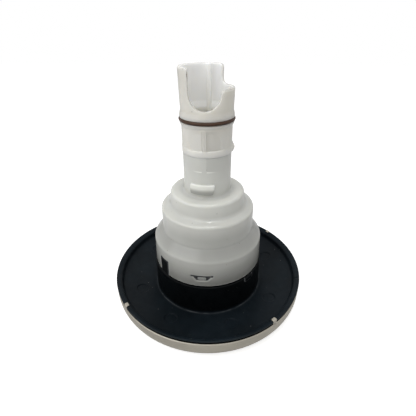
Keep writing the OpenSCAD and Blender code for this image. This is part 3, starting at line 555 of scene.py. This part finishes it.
def make_escutcheon():
    fine = math.radians(5.6)
    coarse = full_turn(600)
    beside = np.min([np.abs(turn(coarse, m)) for m in MARK_ANGLES], 0)
    angles = np.concatenate([coarse[beside > fine]] + [m + spaced(-fine, fine, fine / 24)
                                                       for m in MARK_ANGLES])
    angles = np.sort(angles % (2 * math.pi))
    reach = MARK_R + 0.6
    radii = np.unique(np.concatenate([
        spaced(OPENING_R - 4, MARK_RING_R - reach, 0.42),
        spaced(MARK_RING_R - reach, MARK_RING_R + reach, 0.22),
        spaced(MARK_RING_R + reach, FACE_R + 1, 0.36)]))
    heights = np.unique(np.concatenate([
        spaced(2, PAN_IN_Z - 1, 0.5),
        spaced(PAN_IN_Z - 1, RIM_Z + 0.5, 0.3),
        spaced(RIM_Z + 0.5, SPIGOT_TOP_Z + 1.2, 0.42)]))
    return field_piece("escutcheon_plate", escutcheon_field, angles, heights, radii)


def trim_path():
    """Closed section of the trim: its outer line from the edge at the rim to the lip, and back."""
    roll = 10
    rest_out_r, rest_in_r = FACE_R - roll, FACE_R - roll - 4
    lip_r = COLLAR_FOOT_R - 0.1
    turn_r, lip_z = lip_r + 1.4, 3.2
    quarter = np.linspace(0, -math.pi / 2, 25)
    side = [(FACE_R, RIM_Z - 3.05), (FACE_R, RIM_Z - 4.5)]
    side += [(rest_out_r + roll * math.cos(t), roll + roll * math.sin(t)) for t in quarter]
    for r in np.linspace(rest_in_r, turn_r, 13):
        side.append((r, lip_z * ((rest_in_r - r) / (rest_in_r - turn_r)) ** 2))
    side += [(turn_r - 0.35, lip_z + 0.15), (lip_r + 0.4, lip_z + 0.5), (lip_r + 0.1, lip_z + 0.9),
             (lip_r, PAN_IN_Z - PAN_T - 0.2)]
    outer = np.array(side)
    along = np.gradient(outer, axis=0)
    along /= np.linalg.norm(along, axis=1)[:, None]
    inner = outer + SHEET * np.stack([along[:, 1], -along[:, 0]], 1)
    return np.concatenate([outer, inner[::-1]])


def bent_tab(angle):
    """Folded tab: a strip that runs up the trim's side and over the rim's land."""
    top = RIM_Z + 0.2
    bend_r, bend_z = FACE_R - TAB_BEND, top - TAB_BEND
    bend = [(FACE_R, RIM_Z - 4.5), (FACE_R, bend_z)]
    bend += [(bend_r + TAB_BEND * math.cos(t), bend_z + TAB_BEND * math.sin(t))
             for t in np.linspace(0, math.pi / 2, 7)[1:]]
    bend += [(FACE_R - s, top - 0.14 * (s - TAB_BEND)) for s in np.linspace(1.1, TAB_REACH, 5)]
    bend = np.array(bend)
    along = np.gradient(bend, axis=0)
    along /= np.linalg.norm(along, axis=1)[:, None]
    inward = np.stack([-along[:, 1], along[:, 0]], 1)
    steps = 17
    across = np.linspace(-1, 1, steps)
    vertices = []
    for side, thick in ((0.0, 1), (1.0, -1)):
        for i, (point, way) in enumerate(zip(bend, inward)):
            to_end = max(0.0, 0.6 - (len(bend) - 1 - i) * 0.3)
            half = TAB_W / 2 - to_end * 0.25
            for t in across:
                lift = 0.08 * max(0.0, abs(t) - 0.85) / 0.15 * thick
                spot = point + way * (side * SHEET + lift)
                vertices.append((spot[0], half * t, spot[1]))
    vertices = np.array(vertices)
    rows = len(bend)
    quads = []
    for i in range(rows - 1):
        for j in range(steps - 1):
            a = i * steps + j
            b = a + rows * steps
            quads.append((a, a + 1, a + 1 + steps, a + steps))
            quads.append((b, b + steps, b + 1 + steps, b + 1))
    for i in range(rows - 1):
        for j, flip in ((0, False), (steps - 1, True)):
            a = i * steps + j
            b = a + rows * steps
            quad = (a, a + steps, b + steps, b)
            quads.append(quad[::-1] if flip else quad)
    for i, flip in ((0, True), (rows - 1, False)):
        for j in range(steps - 1):
            a = i * steps + j
            b = a + rows * steps
            quad = (a, a + 1, b + 1, b)
            quads.append(quad[::-1] if flip else quad)
    turned = vertices.copy()
    turned[:, 0] = vertices[:, 0] * math.cos(angle) - vertices[:, 1] * math.sin(angle)
    turned[:, 1] = vertices[:, 0] * math.sin(angle) + vertices[:, 1] * math.cos(angle)
    return turned, np.array(quads)


def make_trim():
    parts = [lathe(trim_path(), 540)]
    parts += [bent_tab(angle) for angle in TAB_ANGLES]
    return new_object("steel_cover", *joined(parts))


# ---- Materials ----

class Graph:
    """A material's node tree, with short calls for the nodes that the finishes use."""

    def __init__(self, name):
        self.material = bpy.data.materials.new(name)
        self.material.use_nodes = True
        self.tree = self.material.node_tree
        self.shader = self.tree.nodes["Principled BSDF"]
        place = self.add("ShaderNodeTexCoord").outputs["Object"]
        scale = self.add("ShaderNodeVectorMath", operation="SCALE")
        self.tree.links.new(place, scale.inputs[0])
        scale.inputs["Scale"].default_value = 1 / MM
        self.place = scale.outputs[0]
        axes = self.add("ShaderNodeSeparateXYZ")
        self.tree.links.new(self.place, axes.inputs[0])
        self.x, self.y, self.z = axes.outputs

    def add(self, kind, **settings):
        node = self.tree.nodes.new(kind)
        for key, value in settings.items():
            setattr(node, key, value)
        return node

    def feed(self, socket, value):
        if isinstance(value, bpy.types.NodeSocket):
            self.tree.links.new(value, socket)
        else:
            socket.default_value = value

    def math(self, operation, *values, clamp=False):
        node = self.add("ShaderNodeMath", operation=operation, use_clamp=clamp)
        for socket, value in zip(node.inputs, values):
            self.feed(socket, value)
        return node.outputs[0]

    def smooth(self, value, low, high, start=0.0, end=1.0):
        """Smooth step from start to end while the value goes from low to high."""
        node = self.add("ShaderNodeMapRange", interpolation_type="SMOOTHSTEP")
        for socket, number in zip(node.inputs, (value, low, high, start, end)):
            self.feed(socket, number)
        return node.outputs[0]

    def ramp(self, value, stops):
        """Level that goes through (value, level) stops."""
        low, high = stops[0][0], stops[-1][0]
        node = self.add("ShaderNodeValToRGB")
        node.color_ramp.interpolation = "CARDINAL"
        elements = node.color_ramp.elements
        while len(elements) < len(stops):
            elements.new(1.0)
        for element, (spot, level) in zip(elements, stops):
            element.position = (spot - low) / (high - low)
            element.color = (level, level, level, 1)
        reach = self.add("ShaderNodeMapRange")
        for socket, number in zip(reach.inputs, (value, low, high, 0.0, 1.0)):
            self.feed(socket, number)
        self.feed(node.inputs[0], reach.outputs[0])
        return self.math("MULTIPLY", node.outputs[0], 1.0)

    def radius(self):
        squares = [self.math("MULTIPLY", axis, axis) for axis in (self.x, self.y)]
        return self.math("SQRT", self.math("ADD", *squares))

    def noise(self, scale, detail=3.0, stretch=(1, 1, 1)):
        """Noise between 0 and 1; scale is in cycles per millimetre."""
        node = self.add("ShaderNodeTexNoise")
        moved = self.add("ShaderNodeVectorMath", operation="MULTIPLY")
        self.feed(moved.inputs[0], self.place)
        moved.inputs[1].default_value = stretch
        self.feed(node.inputs["Vector"], moved.outputs[0])
        node.inputs["Scale"].default_value = scale
        node.inputs["Detail"].default_value = detail
        return node.outputs["Fac"]

    def specks(self, cell, size, share):
        """1 in small round specks, at most one in each cell of that size, in a share of them."""
        node = self.add("ShaderNodeTexVoronoi")
        self.feed(node.inputs["Vector"], self.place)
        node.inputs["Scale"].default_value = 1 / cell
        chosen = self.add("ShaderNodeSeparateColor")
        self.feed(chosen.inputs[0], node.outputs["Color"])
        few = self.math("LESS_THAN", chosen.outputs[0], share)
        spot = self.smooth(node.outputs["Distance"], size / cell, 0.5 * size / cell)
        return self.math("MULTIPLY", few, spot)

    def mix(self, factor, first, second, blend="MIX"):
        node = self.add("ShaderNodeMix", data_type="RGBA", blend_type=blend)
        for key, value in (("Factor_Float", factor), ("A_Color", first), ("B_Color", second)):
            socket = next(s for s in node.inputs if s.identifier == key)
            if isinstance(value, tuple):
                value = (*value, 1.0)
            self.feed(socket, value)
        return next(s for s in node.outputs if s.identifier == "Result_Color")

    def shade(self, color, factor):
        """Colour times a grey factor."""
        grey = self.add("ShaderNodeCombineColor")
        for socket in grey.inputs[:3]:
            self.feed(socket, factor)
        return self.mix(1.0, color, grey.outputs[0], "MULTIPLY")

    def bump(self, height, depth):
        """Bump of that depth in millimetres on the shader's normal."""
        node = self.add("ShaderNodeBump")
        node.inputs["Strength"].default_value = 1.0
        node.inputs["Distance"].default_value = depth * MM
        self.feed(node.inputs["Height"], height)
        self.feed(self.shader.inputs["Normal"], node.outputs[0])

    def finish(self, color, roughness, **numbers):
        self.feed(self.shader.inputs["Base Color"], color)
        self.feed(self.shader.inputs["Roughness"], roughness)
        for key, value in numbers.items():
            self.shader.inputs[key.replace("_", " ")].default_value = value
        return self.material


def white_plastic(name, color, tone=None, depth=2.5):
    """Natural moulded plastic that lets some light through, with specks and soft clouding; tone
    adds painted light and shade.
    """
    g = Graph(name)
    cloud = g.smooth(g.noise(0.09, 4), 0.3, 0.7, 0.98, 1.02)
    # tone paints light and shade into the colour
    color = g.shade(color, g.math("MULTIPLY", cloud, tone(g)) if tone else cloud)
    color = g.mix(g.math("MULTIPLY", g.specks(3.4, 0.34, 0.3), 0.55), color, (0.16, 0.15, 0.12))
    color = g.mix(g.math("MULTIPLY", g.specks(7.3, 0.5, 0.25), 0.4), color, (0.2, 0.19, 0.16))
    rough = g.smooth(g.noise(0.35, 5), 0.35, 0.7, 0.16, 0.22)
    g.bump(g.noise(0.8, 3), 0.012)
    return g.finish(color, rough, Subsurface_Weight=0.9, Subsurface_Radius=(1.0, 0.95, 0.86),
                    Subsurface_Scale=depth * MM, IOR=1.49, Specular_IOR_Level=0.5)


def vane_painted_shade(g, low_z, high_z, depth, side):
    """Painted shade right of a side of the inner vane, which stops the light inside the plastic."""
    beyond = g.math("MULTIPLY", g.smooth(g.x, side - 0.3, side + 0.3), g.smooth(g.x, 13, 0))
    front = g.smooth(g.y, -3, -6)
    span = g.math("MULTIPLY", g.smooth(g.z, low_z - 0.2, low_z + 0.2),
                  g.smooth(g.z, high_z + 0.5, high_z - 0.5))
    dark = g.math("MULTIPLY", beyond, depth)
    return g.math("SUBTRACT", 1.0, g.math("MULTIPLY", dark, g.math("MULTIPLY", front, span)))


def box_distance(g, left, half, low_z, high_z):
    """About the distance to a rectangle on a wall, negative inside."""
    middle, tall = (low_z + high_z) / 2, (high_z - low_z) / 2
    up = g.math("ABSOLUTE", g.math("SUBTRACT", g.z, middle))
    return g.math("MAXIMUM", g.math("SUBTRACT", left, half), g.math("SUBTRACT", up, tall))


def key_left(g):
    """Distance sideways from the middle of the two keys."""
    return g.math("MULTIPLY", g.math("ABSOLUTE", g.math("SUBTRACT", g.x, g.y)), math.sqrt(0.5))


def opening_painted_glow(g):
    """Mask of a painted glow: 1 beside the cup's windows and slots, going to 0 a little way off."""
    ways = [g.math("ABSOLUTE", axis) for axis in (g.x, g.y)]
    lean = g.math("MULTIPLY", g.math("SUBTRACT", g.z, WINDOW_Z + WINDOW_H), -0.75)
    left = g.math("ADD", g.math("MINIMUM", *ways), lean)
    window = box_distance(g, left, WINDOW_BAND_HALF - 0.2, WINDOW_Z, WINDOW_Z + WINDOW_H)
    out = g.math("MULTIPLY", g.math("ABSOLUTE", g.math("ADD", g.x, g.y)), math.sqrt(0.5))
    slot = box_distance(g, key_left(g), SLOT_HALF, CUP_Z - 5, KEY_TOP_Z)
    slot = g.math("ADD", slot, g.smooth(out, WINDOW_FROM_R + 2, WINDOW_FROM_R, 0.0, 9.0))
    return g.smooth(g.math("MINIMUM", window, slot), 0.3, 1.1, 1.0, 0.0)


def housing_painted_shading(g):
    """Painted light and shade: greyer where the black spigot is behind the wall, and in the
    corners, which hold less of the light that the plastic lets through. Painted glow at the edges
    of the cup and of its openings. The lug is painted darker under its ridge and lighter above. The
    end of the barrel's spigot shows as a painted bright line in the neck."""
    # painted shade and edge glow, by height
    level = g.ramp(g.z, [
        (CUP_Z, 0.6), (CUP_Z + 0.8, 0.4), (CUP_Z + 1.6, 0.34), (CUP_Z + 6, 0.44),
        (CUP_Z + 12, 0.55), (CUP_TOP_Z - 0.5, 0.58),
        (CUP_TOP_Z + 1.5, 0.5), (MID_Z - 0.3, 0.48), (MID_Z + 0.6, 0.6), (MID_Z + 6, 0.62),
        (MID_TOP_Z - 4, 0.72), (MID_TOP_Z - 0.6, 0.78), (UPPER_Z - 0.1, 0.76),
        (UPPER_Z + 3.5, 0.8), (UPPER_TOP_Z - 1, 0.84), (UPPER_TOP_Z, 0.86),
        (NECK_Z + 1.5, 0.93), (NECK_Z + 6, 1.0), (NECK_TOP_Z - 6, 0.96),
        (NECK_TOP_Z - 0.8, 0.97), (NECK_TOP_Z, 1.0)])
    # painted shade round the neck's foot
    foot = g.math("MULTIPLY", g.smooth(g.radius(), NECK_R + 4.5, NECK_R + 1, 0.0, 0.14),
                  g.smooth(g.z, UPPER_Z + 5, UPPER_Z + 7))
    # lug painted darker under its ridge and lighter above
    lug = g.math("MULTIPLY", g.smooth(g.radius(), NECK_R + 0.4, NECK_R + 0.9),
                 g.smooth(g.z, LUG_Z + 1.5, LUG_Z + 4.5, -0.3, 0.14))
    lug = g.math("MULTIPLY", lug, g.smooth(g.z, LUG_Z - 0.6, LUG_Z))
    level = g.math("SUBTRACT", g.math("ADD", level, lug), foot)
    # painted glow beside the cup's openings
    level = g.math("ADD", level, g.math("MULTIPLY", opening_painted_glow(g), 0.1))
    tone = g.math("MULTIPLY", level, vane_painted_shade(g, BARREL_Z, NECK_TOP_Z + 9, 0.09, 0.9))
    # painted highlight where the barrel's spigot ends inside the neck
    line = g.math("MULTIPLY", g.smooth(g.z, BARREL_Z - 0.6, BARREL_Z - 0.1),
                  g.smooth(g.z, BARREL_Z + 0.5, BARREL_Z))
    across = g.math("ABSOLUTE", g.math("ADD", g.x, 0.3))
    reach = g.math("MULTIPLY", g.smooth(across, 1.2, 1.6), g.smooth(across, 7.5, 2.0))
    glint = g.math("MULTIPLY", g.math("MULTIPLY", line, reach), g.smooth(g.y, -3, -6))
    return g.math("ADD", tone, g.math("MULTIPLY", glint, 0.3))


def nose_painted_shade(g):
    """Painted shade on the snap noses, which sit deep in the black bosses, most of all at their
    ends.
    """
    left = g.math("MINIMUM", g.math("ABSOLUTE", g.x), g.math("ABSOLUTE", g.y))
    nose = g.smooth(left, 2.3, 2.7, 0.55, 0.03)
    beyond = g.smooth(g.radius(), SPIGOT_R + 0.1, SPIGOT_R + 0.6)
    return g.math("SUBTRACT", 1.0, g.math("MULTIPLY", beyond, g.math("SUBTRACT", 1.0, nose)))


def barrel_edge_shade_and_burrs(g):
    """Painted shade on the cut edges of the walls and the port, with a few dark burrs at the port.
    """
    top = g.smooth(g.z, BARREL_TOP_Z - 0.9, BARREL_TOP_Z - 0.3)
    low = g.math("ABSOLUTE", g.math("SUBTRACT", g.z, LOW_WALL_Z))
    low = g.math("MULTIPLY", g.smooth(low, 0.6, 0.2), g.smooth(g.y, 9.5, 8))
    low = g.math("MULTIPLY", low, g.smooth(g.x, 2, 4))
    below = g.math("MINIMUM", g.math("SUBTRACT", g.z, PORT_Z), 0.0)
    away = g.math("SQRT", g.math("ADD", g.math("MULTIPLY", g.x, g.x),
                                 g.math("MULTIPLY", below, below)))
    away = g.math("ABSOLUTE", g.math("SUBTRACT", away, PORT_R))
    front = g.smooth(g.y, -5, -7)
    port = g.math("MULTIPLY", g.smooth(away, 0.5, 0.15), front)
    # painted shade along the cut edges
    painted_edge_shade = g.math("MAXIMUM", g.math("MAXIMUM", top, low), port)
    burr = g.math("MULTIPLY", g.smooth(away, 0.7, 0.3), g.smooth(g.noise(0.55, 4), 0.56, 0.62))
    burr = g.math("MULTIPLY", g.math("MULTIPLY", burr, front),
                  g.smooth(g.z, PORT_Z - 1, PORT_Z + 2, 0.0, 0.3))
    return g.math("SUBTRACT", 1.0, g.math("ADD", g.math("MULTIPLY", painted_edge_shade, 0.3), burr))


def barrel_painted_shading(g):
    """Painted light and shade: lighter inside, where light comes through the walls, and a painted
    shadow of the lip. Painted shade above the ring, and the flange and the rib painted lighter.
    """
    # painted shadow of the lip
    lip = g.math("MULTIPLY", g.smooth(g.z, RING_Z - 3.8, RING_Z - 2.6),
                 g.smooth(g.z, RING_Z, RING_Z - 0.5))
    tone = g.math("SUBTRACT", 1.0, g.math("MULTIPLY", lip, 0.06))
    # painted light inside the bore
    inside = g.math("MULTIPLY", g.smooth(g.radius(), BARREL_R - 0.6, BARREL_R - 1.6),
                    g.smooth(g.z, RING_Z, RING_Z + 3))
    tone = g.math("ADD", tone, g.math("MULTIPLY", inside, 0.5))
    # painted shade above the ring
    tone = g.math("SUBTRACT", tone, g.smooth(g.z, RING_Z + 0.5, RING_Z + 3, 0.0, 0.07))
    foot = g.math("MULTIPLY", g.smooth(g.z, RING_Z, RING_Z + 1),
                  g.smooth(g.z, RING_Z + 7, RING_Z + 3))
    tone = g.math("SUBTRACT", tone, g.math("MULTIPLY", foot, 0.04))
    # flange and rib painted lighter
    flange = g.smooth(g.z, NECK_TOP_Z + 4.6, NECK_TOP_Z + 2.4, 0.0, 0.08)
    rib = g.math("MULTIPLY", g.smooth(g.math("ABSOLUTE", g.x), 1.3, 1.1), g.smooth(g.y, 3, 5))
    rib = g.math("MULTIPLY", rib, g.smooth(g.z, RING_Z, RING_Z + 3, 0.0, 0.1))
    tone = g.math("ADD", g.math("ADD", tone, flange), rib)
    tone = g.math("MULTIPLY", tone, barrel_edge_shade_and_burrs(g))
    return g.math("MULTIPLY", tone, vane_painted_shade(g, NECK_TOP_Z + 3.8, RING_Z - 3.8, 0.15, -1.7))


def face_painted_highlights(g):
    """Painted highlights on edges: round the latch pads, on the keys, and along the collar's foot.
    """
    # painted highlight line round the latch pads
    sine, cosine = math.sin(PAD_ANGLES[0]), math.cos(PAD_ANGLES[0])
    left = g.math("SUBTRACT", g.math("MULTIPLY", g.x, sine), g.math("MULTIPLY", g.y, cosine))
    out = g.math("ADD", g.math("MULTIPLY", g.x, cosine), g.math("MULTIPLY", g.y, sine))
    beside = g.math("SUBTRACT", g.math("ABSOLUTE", left), PAD_HALF - PAD_ROUND)
    beside = g.math("MAXIMUM", beside, 0.0)
    below = g.math("MAXIMUM", g.math("SUBTRACT", PAD_LOW_Z + PAD_ROUND, g.z), 0.0)
    away = g.math("SQRT", g.math("ADD", g.math("MULTIPLY", beside, beside),
                                 g.math("MULTIPLY", below, below)))
    line = g.smooth(g.math("ABSOLUTE", g.math("SUBTRACT", away, PAD_ROUND)), 0.4, 0.15)
    line = g.math("MULTIPLY", line, g.smooth(g.math("ABSOLUTE", out), COLLAR_R - 1, COLLAR_R))
    line = g.math("MULTIPLY", line, g.smooth(g.z, PAN_IN_Z + 3, PAN_IN_Z + 5))
    radius = g.radius()
    # painted highlight along the collar's foot
    foot = g.math("ABSOLUTE", g.math("SUBTRACT", radius, COLLAR_FOOT_R + 0.35))
    foot = g.math("MULTIPLY", g.smooth(foot, 0.3, 0.1, 0.0, 0.3), g.smooth(g.noise(0.12), 0.4, 0.6))
    foot = g.math("MULTIPLY", foot, g.smooth(g.z, PAN_IN_Z - 2, PAN_IN_Z))
    # painted highlight on the keys' edges
    edge = g.math("MAXIMUM", g.math("SUBTRACT", key_left(g), KEY_HALF),
                  g.math("SUBTRACT", g.z, KEY_TOP_Z - 0.15))
    key = g.math("MULTIPLY", g.smooth(edge, -0.85, -0.7), g.smooth(g.z, LEDGE_Z, LEDGE_Z + 1))
    key = g.math("MULTIPLY", key, g.smooth(radius, SPIGOT_R + 0.3, SPIGOT_R + 1, 0.0, 0.5))
    return g.math("ADD", g.math("ADD", line, foot), key, clamp=True)


def face_painted_shading(g):
    """Painted shade on the collar's upright wall, a painted shadow in the rim's groove, and painted
    light on the rim's land.
    """
    radius = g.radius()
    # painted shade on the collar's upright wall
    collar = g.smooth(radius, COLLAR_FOOT_R + 1.5, COLLAR_FOOT_R + 0.5, 0.0, 0.82)
    wall = g.math("MULTIPLY", collar, g.smooth(g.z, PAN_IN_Z + 0.6, PAN_IN_Z + 3))
    # painted light on the rim's land
    land = g.smooth(radius, LAND_R + 0.8, LAND_R + 1.3, 0.0, 0.5)
    # painted shadow in the rim's groove
    groove = g.math("MULTIPLY", g.smooth(radius, FACE_R - 1.4, FACE_R - 1.1),
                    g.smooth(g.z, RIM_Z - RIM_LIP_H + 0.1, RIM_Z - RIM_LIP_H - 0.1, 0.0, 2.0))
    dark = g.math("ADD", wall, groove)
    return g.math("MAXIMUM", g.math("SUBTRACT", g.math("ADD", 1.0, land), dark), 0.0)


def black_plastic(name, color=(0.0052, 0.0082, 0.0108), low=0.4, high=0.56, dust=0.5,
                  wear=None, tone=None):
    """Black moulded plastic with a fine grain, flow marks, scuffs and a little dust; tone and wear
    add painted shade, light and edge highlights.
    """
    g = Graph(name)
    flow = g.smooth(g.noise(0.06, 5), 0.35, 0.7, 0.8, 1.25)
    # tone paints shade and light into the base colour
    base = g.shade(color, g.math("MULTIPLY", flow, tone(g)) if tone else flow)
    scuff = g.smooth(g.noise(0.8, 6, (1, 0.25, 1)), 0.62, 0.78)
    base = g.mix(g.math("MULTIPLY", scuff, 0.25), base, (0.012, 0.014, 0.016))
    # wear mixes in painted highlights along edges
    if wear:
        base = g.mix(wear(g), base, (0.1, 0.104, 0.108))
    base = g.mix(g.math("MULTIPLY", g.specks(4.1, 0.32, 0.35), dust), base, (0.25, 0.25, 0.24))
    base = g.mix(g.math("MULTIPLY", g.specks(2.6, 0.2, 0.22), dust), base, (0.16, 0.16, 0.15))
    rough = g.smooth(g.noise(0.25, 5), 0.3, 0.7, low, high)
    if tone:
        rough = g.math("ADD", rough, g.smooth(g.z, LEDGE_Z - 0.5, LEDGE_Z + 0.5, 0.0, 0.4))
    g.bump(g.noise(2.2, 3), 0.03)
    return g.finish(base, rough, IOR=1.5, Specular_IOR_Level=0.08)


def steel(name, color=(0.4, 0.375, 0.32)):
    """Satin stainless sheet with fine lines round the axis and faint smudges."""
    g = Graph(name)
    radius = g.radius()
    rings = g.add("ShaderNodeTexNoise", noise_dimensions="2D")
    spot = g.add("ShaderNodeCombineXYZ")
    g.feed(spot.inputs[0], radius)
    g.feed(spot.inputs[1], g.z)
    g.feed(rings.inputs["Vector"], spot.outputs[0])
    rings.inputs["Scale"].default_value = 5.0
    rings.inputs["Detail"].default_value = 4.0
    lines = rings.outputs["Fac"]
    smudge = g.smooth(g.noise(0.05, 4), 0.35, 0.7, 0.92, 1.06)
    base = g.shade(color, g.math("MULTIPLY", smudge, g.smooth(lines, 0.3, 0.7, 0.94, 1.05)))
    rough = g.math("ADD", g.smooth(g.noise(0.12, 5), 0.3, 0.75, 0.3, 0.4),
                   g.math("MULTIPLY", lines, 0.06))
    g.bump(lines, 0.006)
    return g.finish(base, rough, Metallic=1.0)


def rubber(name, color, roughness=0.5):
    """Moulded rubber with dust and uneven gloss, and painted shade on its underside."""
    g = Graph(name)
    # painted shade on the ring's underside
    painted_underside_shade = g.smooth(g.z, RING_Z - 0.5 * RING_D, RING_Z + 0.1 * RING_D, 0.4, 1.0)
    base = g.shade(color, g.math("MULTIPLY", painted_underside_shade, g.smooth(g.noise(0.5, 4), 0.3, 0.7, 0.8, 1.25)))
    base = g.mix(g.math("MULTIPLY", g.specks(1.9, 0.2, 0.3), 0.3), base, (0.2, 0.17, 0.14))
    rough = g.smooth(g.noise(0.7, 4), 0.3, 0.7, roughness - 0.08, roughness + 0.1)
    g.bump(g.noise(3, 3), 0.02)
    return g.finish(base, rough, Specular_IOR_Level=0.3)


def tinted_plastic(name, color, roughness=0.4, specular=0.4):
    """Plain moulded plastic of the inner pieces, with clouding and a fine grain."""
    g = Graph(name)
    base = g.shade(color, g.smooth(g.noise(0.15, 5), 0.3, 0.7, 0.93, 1.06))
    base = g.mix(g.math("MULTIPLY", g.specks(4.6, 0.3, 0.3), 0.3), base, (0.1, 0.1, 0.1))
    rough = g.smooth(g.noise(0.4, 5), 0.3, 0.7, roughness - 0.06, roughness + 0.08)
    g.bump(g.noise(2.5, 3), 0.02)
    return g.finish(base, rough, Specular_IOR_Level=specular)


def polished(name, color):
    """Ground metal of balls and spring clips, with a trace of wear."""
    g = Graph(name)
    base = g.shade(color, g.smooth(g.noise(0.6, 5), 0.3, 0.7, 0.92, 1.05))
    rough = g.smooth(g.noise(1.2, 5), 0.4, 0.75, 0.14, 0.28)
    g.bump(g.noise(6, 3), 0.002)
    return g.finish(base, rough, Metallic=1.0)


# ---- The part ----

def stand_for(piece, node, body, material):
    piece.data.materials.append(material)
    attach(piece, body)
    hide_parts(node)


def paint(node, material):
    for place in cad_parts[node].material_slots:
        place.material = material


stand_for(make_housing(), "housing", "insert",
          white_plastic("housing_plastic", (0.745, 0.75, 0.705), housing_painted_shading))
stand_for(make_barrel(), "inlet_barrel", "insert",
          white_plastic("barrel_plastic", (0.71, 0.695, 0.645), barrel_painted_shading, 6))
stand_for(make_o_ring(), "barrel_o_ring", "insert",
          rubber("seal_rubber", (0.044, 0.02, 0.009)))
stand_for(make_escutcheon(), "escutcheon", "insert",
          black_plastic("face_plastic", wear=face_painted_highlights, tone=face_painted_shading))
stand_for(make_trim(), "steel_trim", "insert", steel("trim_steel"))

cap_steel = steel("cap_steel")
rotor_black = black_plastic("rotor_plastic", (0.012, 0.013, 0.014), 0.35, 0.5, 0.2)
grey = tinted_plastic("grey_plastic_finish", (0.5, 0.51, 0.5))
nozzle_grey = tinted_plastic("nozzle_plastic", (0.55, 0.56, 0.55), 0.36)
race = tinted_plastic("race_plastic_finish", (0.75, 0.75, 0.72), 0.3)
cage = tinted_plastic("cage_plastic", (0.08, 0.1, 0.15), 0.45)
acetal = tinted_plastic("wear_plastic", (0.06, 0.08, 0.12), 0.4)
carrier = white_plastic("carrier_plastic", (0.62, 0.63, 0.6), nose_painted_shade)
clip = polished("clip_metal", (0.55, 0.55, 0.54))
ball = polished("ball_metal", (0.62, 0.62, 0.62))

for node, material in (
        ("rotor_cap", cap_steel), ("rotor_face", rotor_black), ("rotor_body", rotor_black),
        ("outlet_nozzle_left", nozzle_grey), ("outlet_nozzle_right", nozzle_grey),
        ("venturi_nozzle", grey), ("diffuser", grey), ("wear_ring", acetal),
        ("nozzle_o_ring", rubber("small_seal_rubber", (0.02, 0.02, 0.02))),
        ("bearing_carrier", carrier), ("bearing_outer_race", race), ("bearing_inner_race", race),
        ("bearing_cage", cage), ("bearing_balls", ball), ("bearing_clip", clip),
        ("rotor_clip", clip)):
    paint(node, material)


# ---- Studio ----

def make_floor():
    size = 1.5
    mesh = bpy.data.meshes.new("floor")
    mesh.from_pydata([(-size, -size, 0), (size, -size, 0), (size, size, 0), (-size, size, 0)], [],
                     [(0, 1, 2, 3)])
    floor = bpy.data.objects.new("floor", mesh)
    floor.location.z = -0.0002
    bpy.context.scene.collection.objects.link(floor)
    material = bpy.data.materials.new("floor_paint")
    material.use_nodes = True
    tree = material.node_tree
    shader = tree.nodes["Principled BSDF"]
    shader.inputs["Base Color"].default_value = (0.8, 0.8, 0.8, 1)
    shader.inputs["Roughness"].default_value = 0.9
    shader.inputs["Specular IOR Level"].default_value = 0.0
    glow = tree.nodes.new("ShaderNodeLightPath")
    strength = tree.nodes.new("ShaderNodeMath")
    strength.operation = "MULTIPLY"
    tree.links.new(glow.outputs["Is Camera Ray"], strength.inputs[0])
    strength.inputs[1].default_value = 0.65
    tree.links.new(strength.outputs[0], shader.inputs["Emission Strength"])
    shader.inputs["Emission Color"].default_value = (1, 1, 1, 1)
    mesh.materials.append(material)


def make_world():
    """White for what the camera, metal and gloss see, and an even grey light for the rest."""
    world = bpy.data.worlds.new("studio")
    bpy.context.scene.world = world
    world.use_nodes = True
    tree = world.node_tree
    path = tree.nodes.new("ShaderNodeLightPath")
    seen = tree.nodes.new("ShaderNodeMath")
    seen.operation = "MAXIMUM"
    tree.links.new(path.outputs["Is Camera Ray"], seen.inputs[0])
    also = tree.nodes.new("ShaderNodeMath")
    also.operation = "MAXIMUM"
    tree.links.new(path.outputs["Is Glossy Ray"], also.inputs[0])
    tree.links.new(path.outputs["Is Transmission Ray"], also.inputs[1])
    tree.links.new(also.outputs[0], seen.inputs[1])
    level = tree.nodes.new("ShaderNodeMapRange")
    tree.links.new(seen.outputs[0], level.inputs["Value"])
    level.inputs["To Min"].default_value = 0.45
    level.inputs["To Max"].default_value = 1.0
    back = tree.nodes["Background"]
    back.inputs["Color"].default_value = (1, 1, 1, 1)
    tree.links.new(level.outputs[0], back.inputs["Strength"])


def softbox(name, azimuth, elevation, distance, size, power):
    """Square lamp that faces the middle of the part. Azimuth 0 is in front, 90 to the right."""
    lamp = bpy.data.lights.new(name, "AREA")
    lamp.energy, lamp.size = power, size
    piece = bpy.data.objects.new(name, lamp)
    a, e = math.radians(azimuth), math.radians(elevation)
    way = Vector((math.sin(a) * math.cos(e), -math.cos(a) * math.cos(e), math.sin(e)))
    piece.location = Vector((0, 0, 0.06)) + way * distance
    piece.rotation_euler = way.to_track_quat("Z", "Y").to_euler()
    bpy.context.scene.collection.objects.link(piece)


def make_camera():
    """Camera at the photograph's viewing angle: azimuth 6 degrees, looking 31 degrees down."""
    data = bpy.data.cameras.new("camera")
    data.lens, data.sensor_width = 26, 36
    data.shift_x = 0.0011
    camera = bpy.data.objects.new("camera", data)
    azimuth, down, roll = math.radians(6), math.radians(30.95), math.radians(-0.33)
    distance, height = 0.16493, 0.16178
    camera.location = (math.sin(azimuth) * distance, -math.cos(azimuth) * distance, height)
    aim = Matrix.Rotation(azimuth, 3, "Z") @ Matrix.Rotation(math.pi / 2 - down, 3, "X")
    camera.rotation_euler = (aim @ Matrix.Rotation(roll, 3, "Z")).to_euler()
    bpy.context.scene.collection.objects.link(camera)
    bpy.context.scene.camera = camera


make_floor()
make_world()
softbox("left_softbox", -50, 40, 0.8, 0.8, 2.95)
softbox("top_softbox", -10, 75, 0.9, 0.7, 1.55)
softbox("ceiling_lamp", 45, 83, 0.7, 0.12, 0.75)
make_camera()
bpy.context.scene.view_settings.view_transform = "Standard"
